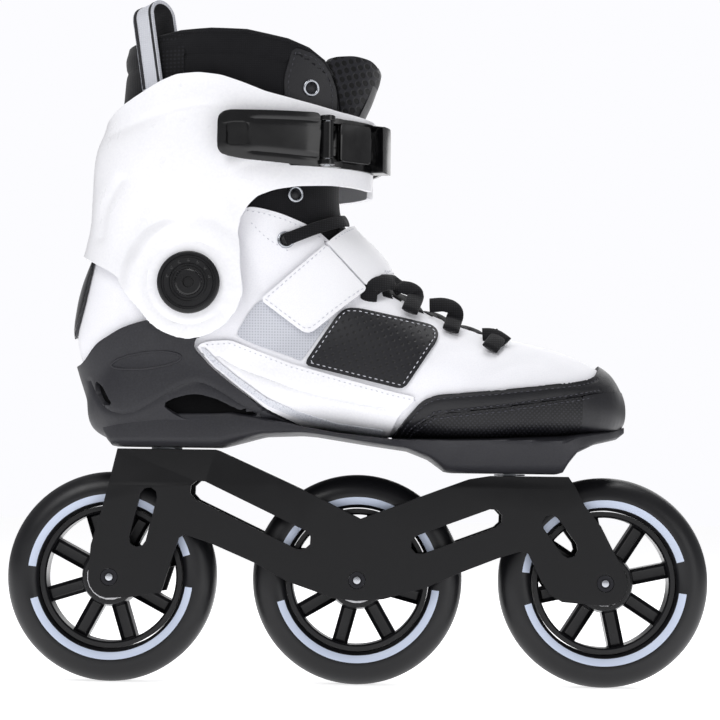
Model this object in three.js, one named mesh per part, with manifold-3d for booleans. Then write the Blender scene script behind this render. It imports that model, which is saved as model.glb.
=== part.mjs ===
// A right-foot inline skate on three wheels, heel at -X and toe at +X, with the outer side of the foot
// at -Y. The origin is on the ground under the middle axle. Sizes are in millimetres, +Z up.
import * as THREE from "three";
import { mergeVertices } from "three/addons/utils/BufferGeometryUtils.js";
import Module from "manifold-3d";

const wasm = await Module();
wasm.setup();

// ---------------------------------------------------------------- driving sizes
const CLEARANCE = 0.3; // left between pieces that touch on the real skate
const FACETS = 28; // flats round a wheel, so that one flat is at the very bottom

const WHEEL_RADIUS = 50;
const WHEEL_GAP = 17.5; // between neighbouring tyres
const TYRE_WIDTH = 24;
const TREAD_HALF = 3; // half of the flat crown of the tyre
const RIM_OUTER = 34;
const RIM_INNER = 31.4;
const RIM_HALF = 7.7;
const SPOKES = 8;
const SPOKE_WIDTH = 7.5;
const SPOKE_HALF = 6.2; // half of a spoke's depth across the wheel
const SPOKE_START = 17; // degrees
const BOSS_RADIUS = 13.2;
const BEARING_OUTER = 11; // a 608 bearing: 22 x 8 x 7
const BEARING_BORE = 4;
const BEARING_WIDTH = 7;
const BEARING_RACE = 7.2; // where the outer ring's shield meets the inner ring
const SPACER_OUTER = 5.9;
const AXLE_HEAD = 6.6;
const HEX_RECESS = 2.3;

const PLATE_INNER = 14; // half of the gap between the frame's side plates
const PLATE_WALL = 3.5;
const CROWN_STEP = 1.2; // how far the upper part of the extrusion is set in
const REAR_MOUNT_X = -92.5; // 165 mm mount, rear and front bolts
const FRONT_MOUNT_X = 72.5;
const REAR_DECK_RISE = 11; // deck above the top of the tyres
const HEEL_RISE = 10.8; // rear deck above front deck
const SOLE_SET_IN = -0.5; // sole's edge from the outer face of the upper
const REAR_DECK_WALL = 7;
const FRONT_DECK_WALL = 6;
const WASHER_THICKNESS = 0.7;
const WASHER_RADIUS = 7.4;
const MOUNT_BOLT_RADIUS = 3;
const MOUNT_HEAD_RADIUS = 6.5;
const MOUNT_HEAD_HEIGHT = 3.8;
const INSERT_RADIUS = 5.4;

const BOOT_LENGTH_SCALE = 1;
const BOOT_WIDTH_SCALE = 1;
const BOOT_HEIGHT_SCALE = 1;
const UPPER_WALL = 2.2;
const LINER_WALL = 5.5;
const CUP_WALL = 3;
const TRIM_WALL = 2;
const TOE_CAP_WALL = 1.7;
const PATCH_WALL = 0.9;
const STRAP_WALL = 2;
const LACE_WALL = 2.2;
const CUFF_WALL = 2.8;
const FOOTBED_WALL = 3;
const BADGE_WALL = 2.9;

const PIVOT_X = -79.5;
const PIVOT_Z = 75.3; // above the boot's rear mounting face
const CUFF_EAR_RADIUS = 25.2;
const CUP_EAR_RADIUS = 22;
const CUP_EAR_FACE = 46.5; // half of the width over the heel cup's flat ears
const PIVOT_BOLT_RADIUS = 4;
const PIVOT_HEAD_RADIUS = 6;
const PIVOT_CAP_RADIUS = 14.5;
const PIVOT_CAP_WALL = 2.5;

const BUCKLE_PIN_X = -16;
const BUCKLE_PIN_RADIUS = 1.5;
const BARREL_RISE = 3.2; // pin's axis above the lever's inner face
const BARREL_RADIUS = 2.8;
const TONGUE_RELIEF = 0.6; // keeps the lever's tongue off the ladder as it opens
const BUCKLE_LOW = 130.8;
const BUCKLE_HIGH = 153.8;
const LADDER_LOW = 134;
const LADDER_HIGH = 150;
const LOOP_WIDTH = 12.5;
const LOOP_WALL = 1.2;

// ---------------------------------------------------------------- worked-out sizes
const AXLE_PITCH = 2 * WHEEL_RADIUS + WHEEL_GAP;
const PLATE_OUTER = PLATE_INNER + PLATE_WALL;
const HUB_HALF = TYRE_WIDTH / 2;
const REAR_DECK_Z = 2 * WHEEL_RADIUS + REAR_DECK_RISE;
const FRONT_DECK_Z = REAR_DECK_Z - HEEL_RISE;
const BOOT_Z = REAR_DECK_Z + WASHER_THICKNESS + 2 * CLEARANCE;
const PIVOT_PLACE = [PIVOT_X * BOOT_LENGTH_SCALE, PIVOT_Z * BOOT_HEIGHT_SCALE];
const TREAD_RADIUS = WHEEL_RADIUS / Math.cos(Math.PI / FACETS);

// Offsets of the boot's layers from the outer face of its upper.
const UPPER_IN = -UPPER_WALL;
const LINER_OUT = UPPER_IN - CLEARANCE;
const LINER_IN = LINER_OUT - LINER_WALL;
const CUP_IN = CLEARANCE;
const CUP_OUT = CUP_IN + CUP_WALL;
const CUFF_IN = CUP_OUT + CLEARANCE;
const CUFF_OUT = CUFF_IN + CUFF_WALL;
const BASE_IN = CUFF_OUT + CLEARANCE;
const BASE_OUT = BASE_IN + 1.5;
const LADDER_IN = BASE_OUT + CLEARANCE;
const LADDER_OUT = LADDER_IN + 1.9;
const LEVER_IN = LADDER_OUT + CLEARANCE;
const LEVER_OUT = LEVER_IN + 3.2;
const CUFF_EAR_INNER = CUP_EAR_FACE + CLEARANCE;
const CUFF_EAR_FACE = CUFF_EAR_INNER + 3.1;

// ---------------------------------------------------------------- the foot's form
// Stations along the foot: x, half width, underside, top, and shift of the middle towards +Y.
const FOOT = [
  [-127, 14, 10.5, 38, 0],
  [-117, 27, 5.6, 53, 0],
  [-98, 34, 5.5, 67, 0],
  [-62, 35.7, 5.5, 73, 0],
  [-28, 38.5, 11, 83, 0],
  [-5, 41.5, 9, 87, 0.5],
  [10, 44, 6.5, 80.5, 1],
  [30, 46.5, 4.9, 68.5, 1.4],
  [52, 48, 4.8, 59, 2.1],
  [78, 47, 5.6, 52.3, 3.1],
  [97, 43, 6.6, 47.6, 4.1],
  [112, 33.5, 8, 41, 5],
  [121, 22, 9.8, 34.5, 5.5],
  [126, 10, 13.5, 25, 5.8],
];
// Stations up the leg: z, back, front of the boot, half width, front of the cuff.
const LEG = [
  [18, -126.5, 5, 33, 5],
  [38, -133.2, 9, 36, 9],
  [50, -136.2, 14, 38.5, 14],
  [62, -134.8, 18, 40.7, 18],
  [75.5, -132, 14, 41.5, 14],
  [90, -127.5, 5, 42, 5],
  [105, -124.3, -8.5, 42, -3],
  [120, -123.6, -12, 42.5, -0.5],
  [142, -121.5, -7, 43.8, 0],
  [151, -118, -4, 44.3, 0.5],
  [170, -116, 4.5, 45.3, 5],
  [184, -114.9, 8.5, 46, 9],
  [218, -112, 6, 46, 6],
];
const RING_POINTS = 16;
const LEG_SQUARENESS = 2.4;
const FOOT_CROWN = 2.05;
const FOOT_SOLE = 3.4;

// ---------------------------------------------------------------- helpers
const finish = (color, roughness, metalness = 0) => ({ color, roughness, metalness });
const FINISH = {
  urethane: finish(0x1d1d21, 0.42),
  hub: finish(0x17171a, 0.35),
  frame: finish(0x1a1a1e, 0.45, 0.3),
  steel: finish(0xb9bcc2, 0.3, 1),
  shield: finish(0x8f9399, 0.35, 0.9),
  cup: finish(0x2b2b30, 0.5),
  upper: finish(0xf2f2f5, 0.55),
  trim: finish(0xf0f0f3, 0.4),
  leather: finish(0x1e1e24, 0.5),
  liner: finish(0x18181c, 0.9),
  cuff: finish(0xf5f5f7, 0.28),
  buckle: finish(0x131316, 0.25),
  webbing: finish(0xd8d8de, 0.8),
};

const skate = new THREE.Group();
const boot = new THREE.Group();
boot.position.z = BOOT_Z;
skate.add(boot);

/** A closed solid made from a three.js geometry, turned so that its faces point out. */
function solid(geometry) {
  const bare = geometry.index ? geometry.toNonIndexed() : geometry.clone();
  bare.deleteAttribute("normal");
  bare.deleteAttribute("uv");
  const merged = mergeVertices(bare, 1e-4);
  const corners = [];
  for (let i = 0; i < merged.index.count; i += 3) {
    const [a, b, c] = merged.index.array.slice(i, i + 3);
    if (a !== b && b !== c && a !== c) corners.push([a, b, c]);
  }
  const build = (list) =>
    new wasm.Manifold(
      new wasm.Mesh({
        numProp: 3,
        vertProperties: merged.attributes.position.array,
        triVerts: new Uint32Array(list.flat()),
      }),
    );
  const made = build(corners);
  return made.volume() > 0 ? made : build(corners.map(([a, b, c]) => [a, c, b]));
}

/** The geometry of a solid. */
function geometryOf(made) {
  const { numProp, vertProperties, triVerts } = made.getMesh();
  const geometry = new THREE.BufferGeometry();
  const position = new Float32Array((vertProperties.length / numProp) * 3);
  for (let i = 0; i < position.length / 3; i++)
    position.set(vertProperties.subarray(i * numProp, i * numProp + 3), i * 3);
  geometry.setAttribute("position", new THREE.BufferAttribute(position, 3));
  geometry.setIndex(new THREE.BufferAttribute(triVerts, 1));
  geometry.computeVertexNormals();
  return geometry;
}

/** Adds one named piece to a group. */
function piece(name, made, look, group) {
  const mesh = new THREE.Mesh(geometryOf(made), new THREE.MeshStandardMaterial(look));
  mesh.name = name;
  group.add(mesh);
}

const joined = (first, ...rest) => rest.reduce((sum, next) => sum.add(next), first);
const cut = (first, ...rest) => rest.reduce((left, next) => left.subtract(next), first);
const shapeOf = (points) => new THREE.Shape(points.map(([x, y]) => new THREE.Vector2(x, y)));
const extruded = (points, depth) =>
  new THREE.ExtrudeGeometry(shapeOf(points), { depth, bevelEnabled: false, steps: 1 });

/** An outline in X and Z pushed through from y = low to y = high. */
function sidePrism(points, low, high) {
  return solid(extruded(points, high - low).rotateX(Math.PI / 2).translate(0, high, 0));
}

/** An outline in X and Y pushed up from z = low to z = high. */
function planPrism(points, low, high) {
  return solid(extruded(points, high - low).translate(0, 0, low));
}

/** An outline in Y and Z pushed through from x = low to x = high. */
function frontPrism(points, low, high) {
  const turn = new THREE.Matrix4().set(0, 0, 1, low, 1, 0, 0, 0, 0, 1, 0, 0, 0, 0, 0, 1);
  return solid(extruded(points, high - low).applyMatrix4(turn));
}

/** A block between two corners. */
function block(low, high) {
  const size = high.map((value, i) => value - low[i]);
  const middle = high.map((value, i) => (value + low[i]) / 2);
  return solid(new THREE.BoxGeometry(...size).translate(...middle));
}

/** A round bar along Y, from y = low to y = high. */
function barY(x, z, radius, low, high, sides = 24) {
  const bar = new THREE.CylinderGeometry(radius, radius, Math.abs(high - low), sides);
  return solid(bar.translate(x, (low + high) / 2, z));
}

/** A round bar along Z, from z = low to z = high. */
function barZ(x, y, radius, low, high, sides = 20) {
  const bar = new THREE.CylinderGeometry(radius, radius, high - low, sides);
  return solid(bar.rotateX(Math.PI / 2).translate(x, y, (low + high) / 2));
}

/** A closed profile of [radius, y] turned about the Y axis, with a flat centred at the bottom. */
function turned(profile, sides) {
  const points = [...profile, profile[0]].map(([r, y]) => new THREE.Vector2(r, y));
  return solid(new THREE.LatheGeometry(points, sides, Math.PI / sides));
}

/** Points of an arc in degrees, both ends included. */
function arc(x, z, radius, from, to, steps) {
  return Array.from({ length: steps + 1 }, (_, i) => {
    const angle = THREE.MathUtils.degToRad(from + ((to - from) * i) / steps);
    return [x + radius * Math.cos(angle), z + radius * Math.sin(angle)];
  });
}

/** A slot with round ends between two points of a side view. */
function slot([x0, z0], [x1, z1], radius, reach) {
  const angle = THREE.MathUtils.radToDeg(Math.atan2(z1 - z0, x1 - x0));
  const outline = [
    ...arc(x1, z1, radius, angle - 90, angle + 90, 4),
    ...arc(x0, z0, radius, angle + 90, angle + 270, 4),
  ];
  return sidePrism(outline, -reach, reach);
}

/** A solid through a stack of rings that have the same number of points. */
function loft(rings) {
  const count = rings[0].length;
  const vertices = rings.flat();
  const index = [];
  for (let r = 0; r + 1 < rings.length; r++) {
    for (let i = 0; i < count; i++) {
      const a = r * count + i;
      const b = r * count + ((i + 1) % count);
      index.push(a, b, a + count, b, b + count, a + count);
    }
  }
  for (const [ring, reverse] of [[0, true], [rings.length - 1, false]]) {
    for (let i = 1; i + 1 < count; i++) {
      const [a, b, c] = [0, i, i + 1].map((k) => ring * count + k);
      index.push(...(reverse ? [a, c, b] : [a, b, c]));
    }
  }
  const geometry = new THREE.BufferGeometry();
  geometry.setAttribute("position", new THREE.Float32BufferAttribute(vertices.flat(), 3));
  geometry.setIndex(index);
  return solid(geometry);
}

const power = (value, exponent) => Math.sign(value) * Math.abs(value) ** exponent;
const ringAngles = Array.from({ length: RING_POINTS }, (_, i) => (2 * Math.PI * i) / RING_POINTS);

/** The foot's form, swollen by an offset. */
function footForm(offset) {
  const stations = FOOT.filter(([, half, under, top]) => half + offset > 1 && top - under + 2 * offset > 1);
  const first = FOOT[0][0];
  const last = FOOT[FOOT.length - 1][0];
  const middle = (first + last) / 2;
  const stretch = (half) => (half + offset) / half;
  const lengthen = stretch(((last - first) / 2) * BOOT_LENGTH_SCALE);
  const rings = stations.map(([x, half, under, top, shift]) => {
    const width = half * BOOT_WIDTH_SCALE + offset;
    const low = under * BOOT_HEIGHT_SCALE - offset;
    const high = top * BOOT_HEIGHT_SCALE + offset;
    const waist = low + 0.4 * (high - low);
    const at = (middle + (x - middle) * lengthen) * BOOT_LENGTH_SCALE;
    return ringAngles.map((angle) => {
      const up = Math.sin(angle) > 0;
      const bend = 2 / (up ? FOOT_CROWN : FOOT_SOLE);
      const y = shift + width * power(Math.cos(angle), bend);
      return [at, y, waist + (up ? high - waist : waist - low) * power(Math.sin(angle), bend)];
    });
  });
  return loft(rings);
}

/** The leg's form, swollen by an offset, with the front line of the boot or of the cuff. */
function legForm(offset, frontColumn = 2) {
  const rings = LEG.map((row, i) => {
    const back = row[1] * BOOT_LENGTH_SCALE - offset;
    const front = row[frontColumn] * BOOT_LENGTH_SCALE + offset;
    const width = row[3] * BOOT_WIDTH_SCALE + offset;
    const z = row[0] * BOOT_HEIGHT_SCALE - (i === 0 ? offset : 0);
    return ringAngles.map((angle) => [
      (back + front) / 2 + ((front - back) / 2) * power(Math.cos(angle), 2 / LEG_SQUARENESS),
      width * power(Math.sin(angle), 2 / LEG_SQUARENESS),
      z,
    ]);
  });
  return loft(rings);
}

const forms = new Map();
/** The whole boot's form at an offset: foot and leg together. */
function bootForm(offset) {
  if (!forms.has(offset)) forms.set(offset, footForm(offset).add(legForm(offset)));
  return forms.get(offset);
}

/** The leg's form with the cuff's own front line. */
function cuffForm(offset) {
  const key = "cuff" + offset;
  if (!forms.has(key)) forms.set(key, legForm(offset, 4));
  return forms.get(key);
}

const bootShell = (inner, outer) => cut(bootForm(outer), bootForm(inner));
const cuffShell = (inner, outer) => cut(cuffForm(outer), cuffForm(inner));

/** Half of the cuff form's width at a place, which is where its side face is. */
function cuffSide(x, z, offset) {
  const above = LEG.findIndex((row) => row[0] * BOOT_HEIGHT_SCALE > z);
  const [low, high] = [LEG[above - 1], LEG[above]];
  const share = (z / BOOT_HEIGHT_SCALE - low[0]) / (high[0] - low[0]);
  const row = low.map((value, i) => value + (high[i] - value) * share);
  const back = row[1] * BOOT_LENGTH_SCALE - offset;
  const front = row[4] * BOOT_LENGTH_SCALE + offset;
  const along = Math.abs((2 * x - back - front) / (front - back));
  const width = row[3] * BOOT_WIDTH_SCALE + offset;
  return width * (1 - along ** LEG_SQUARENESS) ** (1 / LEG_SQUARENESS);
}

const FAR = 160; // beyond the boot on every side
/** A side view of the boot, stretched with it, pushed through all of its width or one half. */
function sideView(points, low = -FAR, high = FAR) {
  const placed = points.map(([x, z]) => [x * BOOT_LENGTH_SCALE, z * BOOT_HEIGHT_SCALE]);
  return sidePrism(placed, low, high);
}

/** A plan view of the boot, stretched with it. */
function planView(points, low, high = 2 * FAR) {
  const placed = points.map(([x, y]) => [x * BOOT_LENGTH_SCALE, y * BOOT_WIDTH_SCALE]);
  return planPrism(placed, low * BOOT_HEIGHT_SCALE, high);
}

const mirrored = (points) => [...points, ...points.map(([x, y]) => [x, -y]).reverse()];

// ---------------------------------------------------------------- wheels
function tyre() {
  const shoulder = TYRE_WIDTH / 2;
  const half = [
    [TREAD_RADIUS, TREAD_HALF],
    [WHEEL_RADIUS - 2.8, shoulder * 0.72],
    [WHEEL_RADIUS - 9, shoulder],
    [RIM_OUTER + 3, shoulder * 0.82],
    [RIM_OUTER + CLEARANCE, RIM_HALF],
  ];
  const other = half.map(([r, y]) => [r, -y]).reverse();
  return turned([...other, ...half], FACETS);
}

function hub() {
  const rim = turned(
    [[RIM_INNER, -RIM_HALF], [RIM_OUTER, -RIM_HALF], [RIM_OUTER, RIM_HALF], [RIM_INNER, RIM_HALF]],
    FACETS,
  );
  const seat = BEARING_OUTER + CLEARANCE / 2;
  const shoulder = HUB_HALF - BEARING_WIDTH - CLEARANCE;
  const lip = BEARING_OUTER - 2;
  const boss = turned(
    [
      [BOSS_RADIUS, -HUB_HALF],
      [BOSS_RADIUS, HUB_HALF],
      [seat, HUB_HALF],
      [seat, shoulder],
      [lip, shoulder],
      [lip, -shoulder],
      [seat, -shoulder],
      [seat, -HUB_HALF],
    ],
    20,
  );
  const inner = seat + 1;
  const outer = RIM_INNER + 1;
  const spoke = new THREE.BoxGeometry(outer - inner, 2 * SPOKE_HALF, SPOKE_WIDTH);
  spoke.translate((inner + outer) / 2, 0, 0);
  const spokes = Array.from({ length: SPOKES }, (_, i) => {
    const angle = THREE.MathUtils.degToRad(SPOKE_START + (360 * i) / SPOKES);
    return solid(spoke.clone().rotateY(-angle));
  });
  return joined(rim, boss, ...spokes);
}

/** A ring about the Y axis between two radii and two faces. */
function ring(inner, outer, low, high, sides) {
  return turned([[inner, low], [outer, low], [outer, high], [inner, high]], sides);
}

function axle() {
  const reach = PLATE_OUTER - CLEARANCE / 2;
  const shaft = barY(0, 0, BEARING_BORE - CLEARANCE / 2, -reach, PLATE_OUTER + CLEARANCE, 16);
  const head = barY(0, 0, AXLE_HEAD, PLATE_OUTER + CLEARANCE, PLATE_OUTER + 2.6, 16);
  const recess = (at) => barY(0, 0, HEX_RECESS, at - 2, at + 2, 6);
  return cut(shaft.add(head), recess(-reach), recess(PLATE_OUTER + 2.6));
}

function addWheel(label, x) {
  const wheel = new THREE.Group();
  wheel.position.set(x, 0, WHEEL_RADIUS);
  skate.add(wheel);
  piece("tyre_" + label, tyre(), FINISH.urethane, wheel);
  piece("hub_" + label, hub(), FINISH.hub, wheel);
  const race = BEARING_RACE + CLEARANCE / 2;
  const innerReach = PLATE_INNER - 1.7;
  for (const [side, turn] of [["lateral", -1], ["medial", 1]]) {
    const faces = [turn * (HUB_HALF - BEARING_WIDTH), turn * HUB_HALF].sort((a, b) => a - b);
    const seats = [turn * (HUB_HALF - BEARING_WIDTH), turn * innerReach].sort((a, b) => a - b);
    const name = "bearing_" + label + "_" + side;
    piece(name + "_outer_ring", ring(race, BEARING_OUTER, ...faces, 20), FINISH.shield, wheel);
    piece(name + "_inner_ring", ring(BEARING_BORE, race - CLEARANCE, ...seats, 16), FINISH.steel, wheel);
  }
  const spacerHalf = HUB_HALF - BEARING_WIDTH - CLEARANCE;
  piece("spacer_" + label, ring(BEARING_BORE, SPACER_OUTER, -spacerHalf, spacerHalf, 16), FINISH.steel, wheel);
  piece("axle_" + label, axle(), FINISH.steel, wheel);
}

// ---------------------------------------------------------------- frame
/** A point of the frame's side view, measured from one axle. */
const from = (axleX) => (dx, dz) => [axleX + dx, WHEEL_RADIUS + dz];
const atRear = from(-AXLE_PITCH);
const atMiddle = from(0);
const atFront = from(AXLE_PITCH);
const atRearDeck = (dx, dz) => [REAR_MOUNT_X + dx, REAR_DECK_Z + dz];
const atFrontDeck = (dx, dz) => [FRONT_MOUNT_X + dx, FRONT_DECK_Z + dz];

function frameOutline() {
  return [
    atRearDeck(-22.2, 0),
    atRear(-3.3, 34.7),
    atRear(-8.9, 15.1),
    ...arc(-AXLE_PITCH, WHEEL_RADIUS, 10, 170, 262, 5),
    atRear(9.6, -9.4),
    atRear(24.7, -7),
    atRear(29.4, 8),
    atRear(32.8, 18.9),
    atRear(35.5, 20.6),
    atMiddle(-69.2, 16.4),
    atMiddle(-48.4, 7.5),
    atMiddle(-33.1, -1),
    atMiddle(-11.2, -8.5),
    atMiddle(0, -9.8),
    atMiddle(12.5, -8.8),
    atMiddle(31.9, -3.4),
    atMiddle(48.1, 3.9),
    atMiddle(66.5, 11.2),
    atFront(-40.2, 14.6),
    atFront(-36.4, 13.5),
    atFront(-30.3, 0.6),
    atFront(-25.9, -5.8),
    atFront(-20.4, -9),
    ...arc(AXLE_PITCH, WHEEL_RADIUS, 10.6, 262, 385, 6),
    atFront(3.2, 16.2),
    atFront(-2.3, 27),
    atFront(-10, 36.6),
    atFront(-14.4, 45.3),
    atFrontDeck(27.3, 0),
    atFrontDeck(-9.7, 0),
    atFrontDeck(-19.4, -1.6),
    atMiddle(29.8, 40),
    atMiddle(1.1, 28.9),
    atMiddle(-14, 36.7),
    atMiddle(-41.4, 49.4),
    atRearDeck(24.7, 0),
  ];
}

function frame() {
  const reach = 2 * AXLE_PITCH;
  const stepZ = REAR_DECK_Z - 16;
  const crown = PLATE_OUTER - CROWN_STEP;
  const outside = frontPrism(
    mirrored([[-PLATE_OUTER, 0], [-PLATE_OUTER, stepZ - 1], [-crown, stepZ + 0.6], [-crown, 2 * stepZ]])
      .map(([y, z], i) => (i < 4 ? [y, z] : [-y, -z])),
    -reach,
    reach,
  );
  const well = (low, high, roof) => block([low, -PLATE_INNER, -1], [high, PLATE_INNER, roof]);
  const deckEnd = [REAR_MOUNT_X + 30.5, FRONT_MOUNT_X - 20.5];
  const rearRoof = REAR_DECK_Z - REAR_DECK_WALL;
  const frontRoof = FRONT_DECK_Z - FRONT_DECK_WALL;
  const crownInner = crown - PLATE_WALL + 0.3;
  const channel = joined(
    well(-reach, deckEnd[0], stepZ - 3),
    block([-reach, -crownInner, 0], [deckEnd[0], crownInner, rearRoof]),
    well(deckEnd[1], reach, frontRoof),
    well(...deckEnd, REAR_DECK_Z + 10),
  );
  const wells = [-AXLE_PITCH, 0, AXLE_PITCH].map((x) =>
    barY(x, WHEEL_RADIUS, WHEEL_RADIUS + 3, -HUB_HALF - 1, HUB_HALF + 1, 28),
  );
  const slots = [
    slot(atMiddle(-75.1, 41.6), atMiddle(-26.8, 18.8), 4.8, reach),
    slot(atMiddle(64.1, 30.1), atMiddle(29.7, 17.2), 4.5, reach),
    slot(atRear(18.2, 38.8), atRear(13.2, 18.3), 4, reach),
    slot(atFront(-26, 28), atFront(-17.2, 16), 4.2, reach),
  ];
  const solidFrame = cut(
    sidePrism(frameOutline(), -PLATE_OUTER, PLATE_OUTER).intersect(outside),
    channel,
    ...wells,
    ...slots,
  );
  const bosses = [-AXLE_PITCH, 0, AXLE_PITCH].flatMap((x) =>
    [-1, 1].map((turn) => barY(x, WHEEL_RADIUS, 7, turn * (PLATE_INNER - 1.4), turn * (PLATE_INNER + 1), 16)),
  );
  const bores = [-AXLE_PITCH, 0, AXLE_PITCH].map((x) =>
    barY(x, WHEEL_RADIUS, BEARING_BORE + CLEARANCE / 2, -reach, reach, 16),
  );
  const boltHoles = [REAR_MOUNT_X, FRONT_MOUNT_X].map((x) =>
    barZ(x, 0, MOUNT_BOLT_RADIUS + CLEARANCE, FRONT_DECK_Z - 30, REAR_DECK_Z + 10, 16),
  );
  return cut(joined(solidFrame, ...bosses), ...bores, ...boltHoles);
}

function addMount(label, x, deckZ, deckWall) {
  const roof = deckZ - deckWall;
  const head = barZ(x, 0, MOUNT_HEAD_RADIUS, roof - CLEARANCE - MOUNT_HEAD_HEIGHT, roof - CLEARANCE, 16);
  const faceZ = deckZ + WASHER_THICKNESS + 2 * CLEARANCE;
  const shank = barZ(x, 0, MOUNT_BOLT_RADIUS, roof - CLEARANCE - 1, faceZ + 3.2, 16);
  const socket = barZ(x, 0, HEX_RECESS, 0, roof - CLEARANCE - 1.6, 6);
  piece("mount_bolt_" + label, cut(head.add(shank), socket), FINISH.steel, skate);
  const washerLow = deckZ + CLEARANCE;
  const washer = cut(
    barZ(x, 0, WASHER_RADIUS, washerLow, washerLow + WASHER_THICKNESS, 16),
    barZ(x, 0, MOUNT_BOLT_RADIUS + CLEARANCE, 0, 2 * deckZ, 16),
  );
  piece("mount_washer_" + label, washer, FINISH.steel, skate);
  const insert = cut(
    barZ(x, 0, INSERT_RADIUS, faceZ + 0.1, faceZ + 3.4, 12),
    barZ(x, 0, MOUNT_BOLT_RADIUS + CLEARANCE, 0, 2 * deckZ, 16),
  );
  piece("threaded_insert_" + label, insert, FINISH.steel, skate);
}

// ---------------------------------------------------------------- heel cup and sole
const CUP_TOP = [
  [-150, 37], [-130.1, 38.8], [-122.9, 48.2], [-111.2, 55], [-103.4, 57.7], [-98.1, 58.7], [-90, 62],
  [-79.5, 62], [-74, 54], [-78.2, 46.5], [-68.9, 36.4], [-58.2, 28], [-43.6, 17.7], [-27.3, 11.4],
  [-10.6, 7], [10.8, 3.4],
];
const SOLE_UNDER = [
  [59, -10.8], [42.3, -10.8], [33.4, -4.5], [22.9, -0.3], [5.4, 2.2], [-21.2, 6.2], [-27.8, 6.6],
  [-45.6, 5.7], [-57.6, 2.3], [-66.1, 0], [-117.4, 0], [-119.6, 0.8], [-124.6, 9.5], [-130.9, 20],
  [-150, 22],
];
const SOLE_LINE = [[14.8, 1.9], [59.3, 3.5], [96.3, 5.5], [123, 6.6], [140, 7]];
const SOLE_TOE_UNDER = [[140, 6.4], [123.2, 6.1], [111.8, 3.4], [102.9, -1], [99.1, -6.2], [96.8, -10.8]];

function soleBlock() {
  const side = sideView([...SOLE_LINE, ...SOLE_TOE_UNDER, ...SOLE_UNDER.slice(0, -1), [-131, 24], [-60, 24], [-43.6, 15], [-27.3, 10.4], [-10.6, 6.3]]);
  const low = -HEEL_RISE * BOOT_HEIGHT_SCALE;
  const width = BOOT_WIDTH_SCALE;
  const section = [
    [-26 * width, low], [26 * width, low], [41 * width, 3], [50 * width, 12],
    [50 * width, 40], [-50 * width, 40], [-50 * width, 12], [-41 * width, 3],
  ];
  const flared = frontPrism(section, -FAR, FAR);
  const plan = footForm(SOLE_SET_IN);
  const footprint = cut(plan.add(sunk(plan)), bootForm(CUP_IN));
  return side.intersect(flared).intersect(footprint);
}

/** The same form carried down in steps, which stands for everything under it. */
function sunk(form) {
  return joined(...[6, 12, 18].map((drop) => form.translate([0, 0, -drop])));
}

function heelCupAndSole() {
  const cupSide = sideView([...CUP_TOP, ...SOLE_UNDER.slice(4)]);
  const cup = bootForm(CUP_OUT).intersect(cupSide);
  const ears = [-1, 1].map((turn) =>
    barY(...PIVOT_PLACE, CUP_EAR_RADIUS, turn * 30, turn * CUP_EAR_FACE, 24),
  );
  const pivotBore = barY(...PIVOT_PLACE, PIVOT_BOLT_RADIUS + CLEARANCE, -FAR, FAR, 16);
  const bores = [[REAR_MOUNT_X, 0], [FRONT_MOUNT_X, -HEEL_RISE]].map(([x, z]) =>
    barZ(x, 0, INSERT_RADIUS + CLEARANCE, z - 1, z + 3.4 + CLEARANCE, 12),
  );
  return cut(joined(cup, soleBlock(), ...ears), bootForm(CUP_IN), pivotBore, ...bores);
}

// ---------------------------------------------------------------- upper and what is sewn to it
const COLLAR = [
  [-150, 86.5], [-120, 90.5], [-95, 94.5], [-70, 103], [-53, 112.2], [-46.1, 111.3], [-37.3, 109.2],
  [-25.3, 104.6], [-19.6, 101.5],
];
const THROAT = mirrored([[-40, -32], [-10, -28], [8, -22], [20, -18], [58, -14], [62, -6]]);
const TONGUE_PLAN = mirrored([[-13, -24], [8, -19], [20, -15], [54, -11]]);
const TOE_CAP = [
  [14.8, 2.3], [22.1, 13.8], [29.4, 22.1], [36.1, 24.8], [66.5, 27.4], [88.7, 29.9], [103.5, 31.8],
  [109.4, 33.9], [112.5, 37], [114.5, 41.5], [150, 41.5], [150, 7.5], [123, 6.9], [96.3, 5.8], [59.3, 3.8],
];
const TRIM = [
  [-76.5, 47.1], [-71, 49.1], [-60.3, 49.8], [-48.4, 45.1], [-32.3, 38.9], [-5.6, 31.8], [15.8, 26.2],
  [27.5, 23.6], [19.4, 16.5], [12.4, 4.3], [10.9, 3.9], [-10.4, 7.4], [-27, 12.1], [-43.1, 18.5],
  [-57.6, 28.8], [-68.2, 37.2],
];
const PATCH = [
  [-26, 38.3], [21, 27.1], [36.5, 50.8], [36.6, 55], [33.5, 58], [24, 60], [-1, 65.2], [-6.5, 65.2],
  [-10, 62.6],
];
const STRAP = [[-46.4, 67.9], [-26.2, 54.6], [-20.9, 58.1], [30, 106.5], [9, 124.6], [-26, 92.9]];
const STRAP_SPLIT = [[-60, 60], [-20, 45], [5, 72.5], [-26, 104.5]];

function upper() {
  const side = sideView([[-150, -20], ...COLLAR, [-12, 94.6], [20, 94.6], [150, 94.6], [150, -20]]);
  return cut(bootShell(UPPER_IN, 0).intersect(side), planView(THROAT, 42));
}

const sewnOn = (outline, inner, wall, low, high) =>
  bootShell(inner, inner + wall).intersect(sideView(outline, low, high));

function heelBadge() {
  const half = arc(0, 0, 1, 0, 350, 35).map(([y, z]) => [11 * y, 71 + 19.3 * z]);
  const lens = frontPrism(half, -FAR, PIVOT_PLACE[0]);
  return bootShell(CLEARANCE, CLEARANCE + BADGE_WALL).intersect(lens);
}

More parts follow.
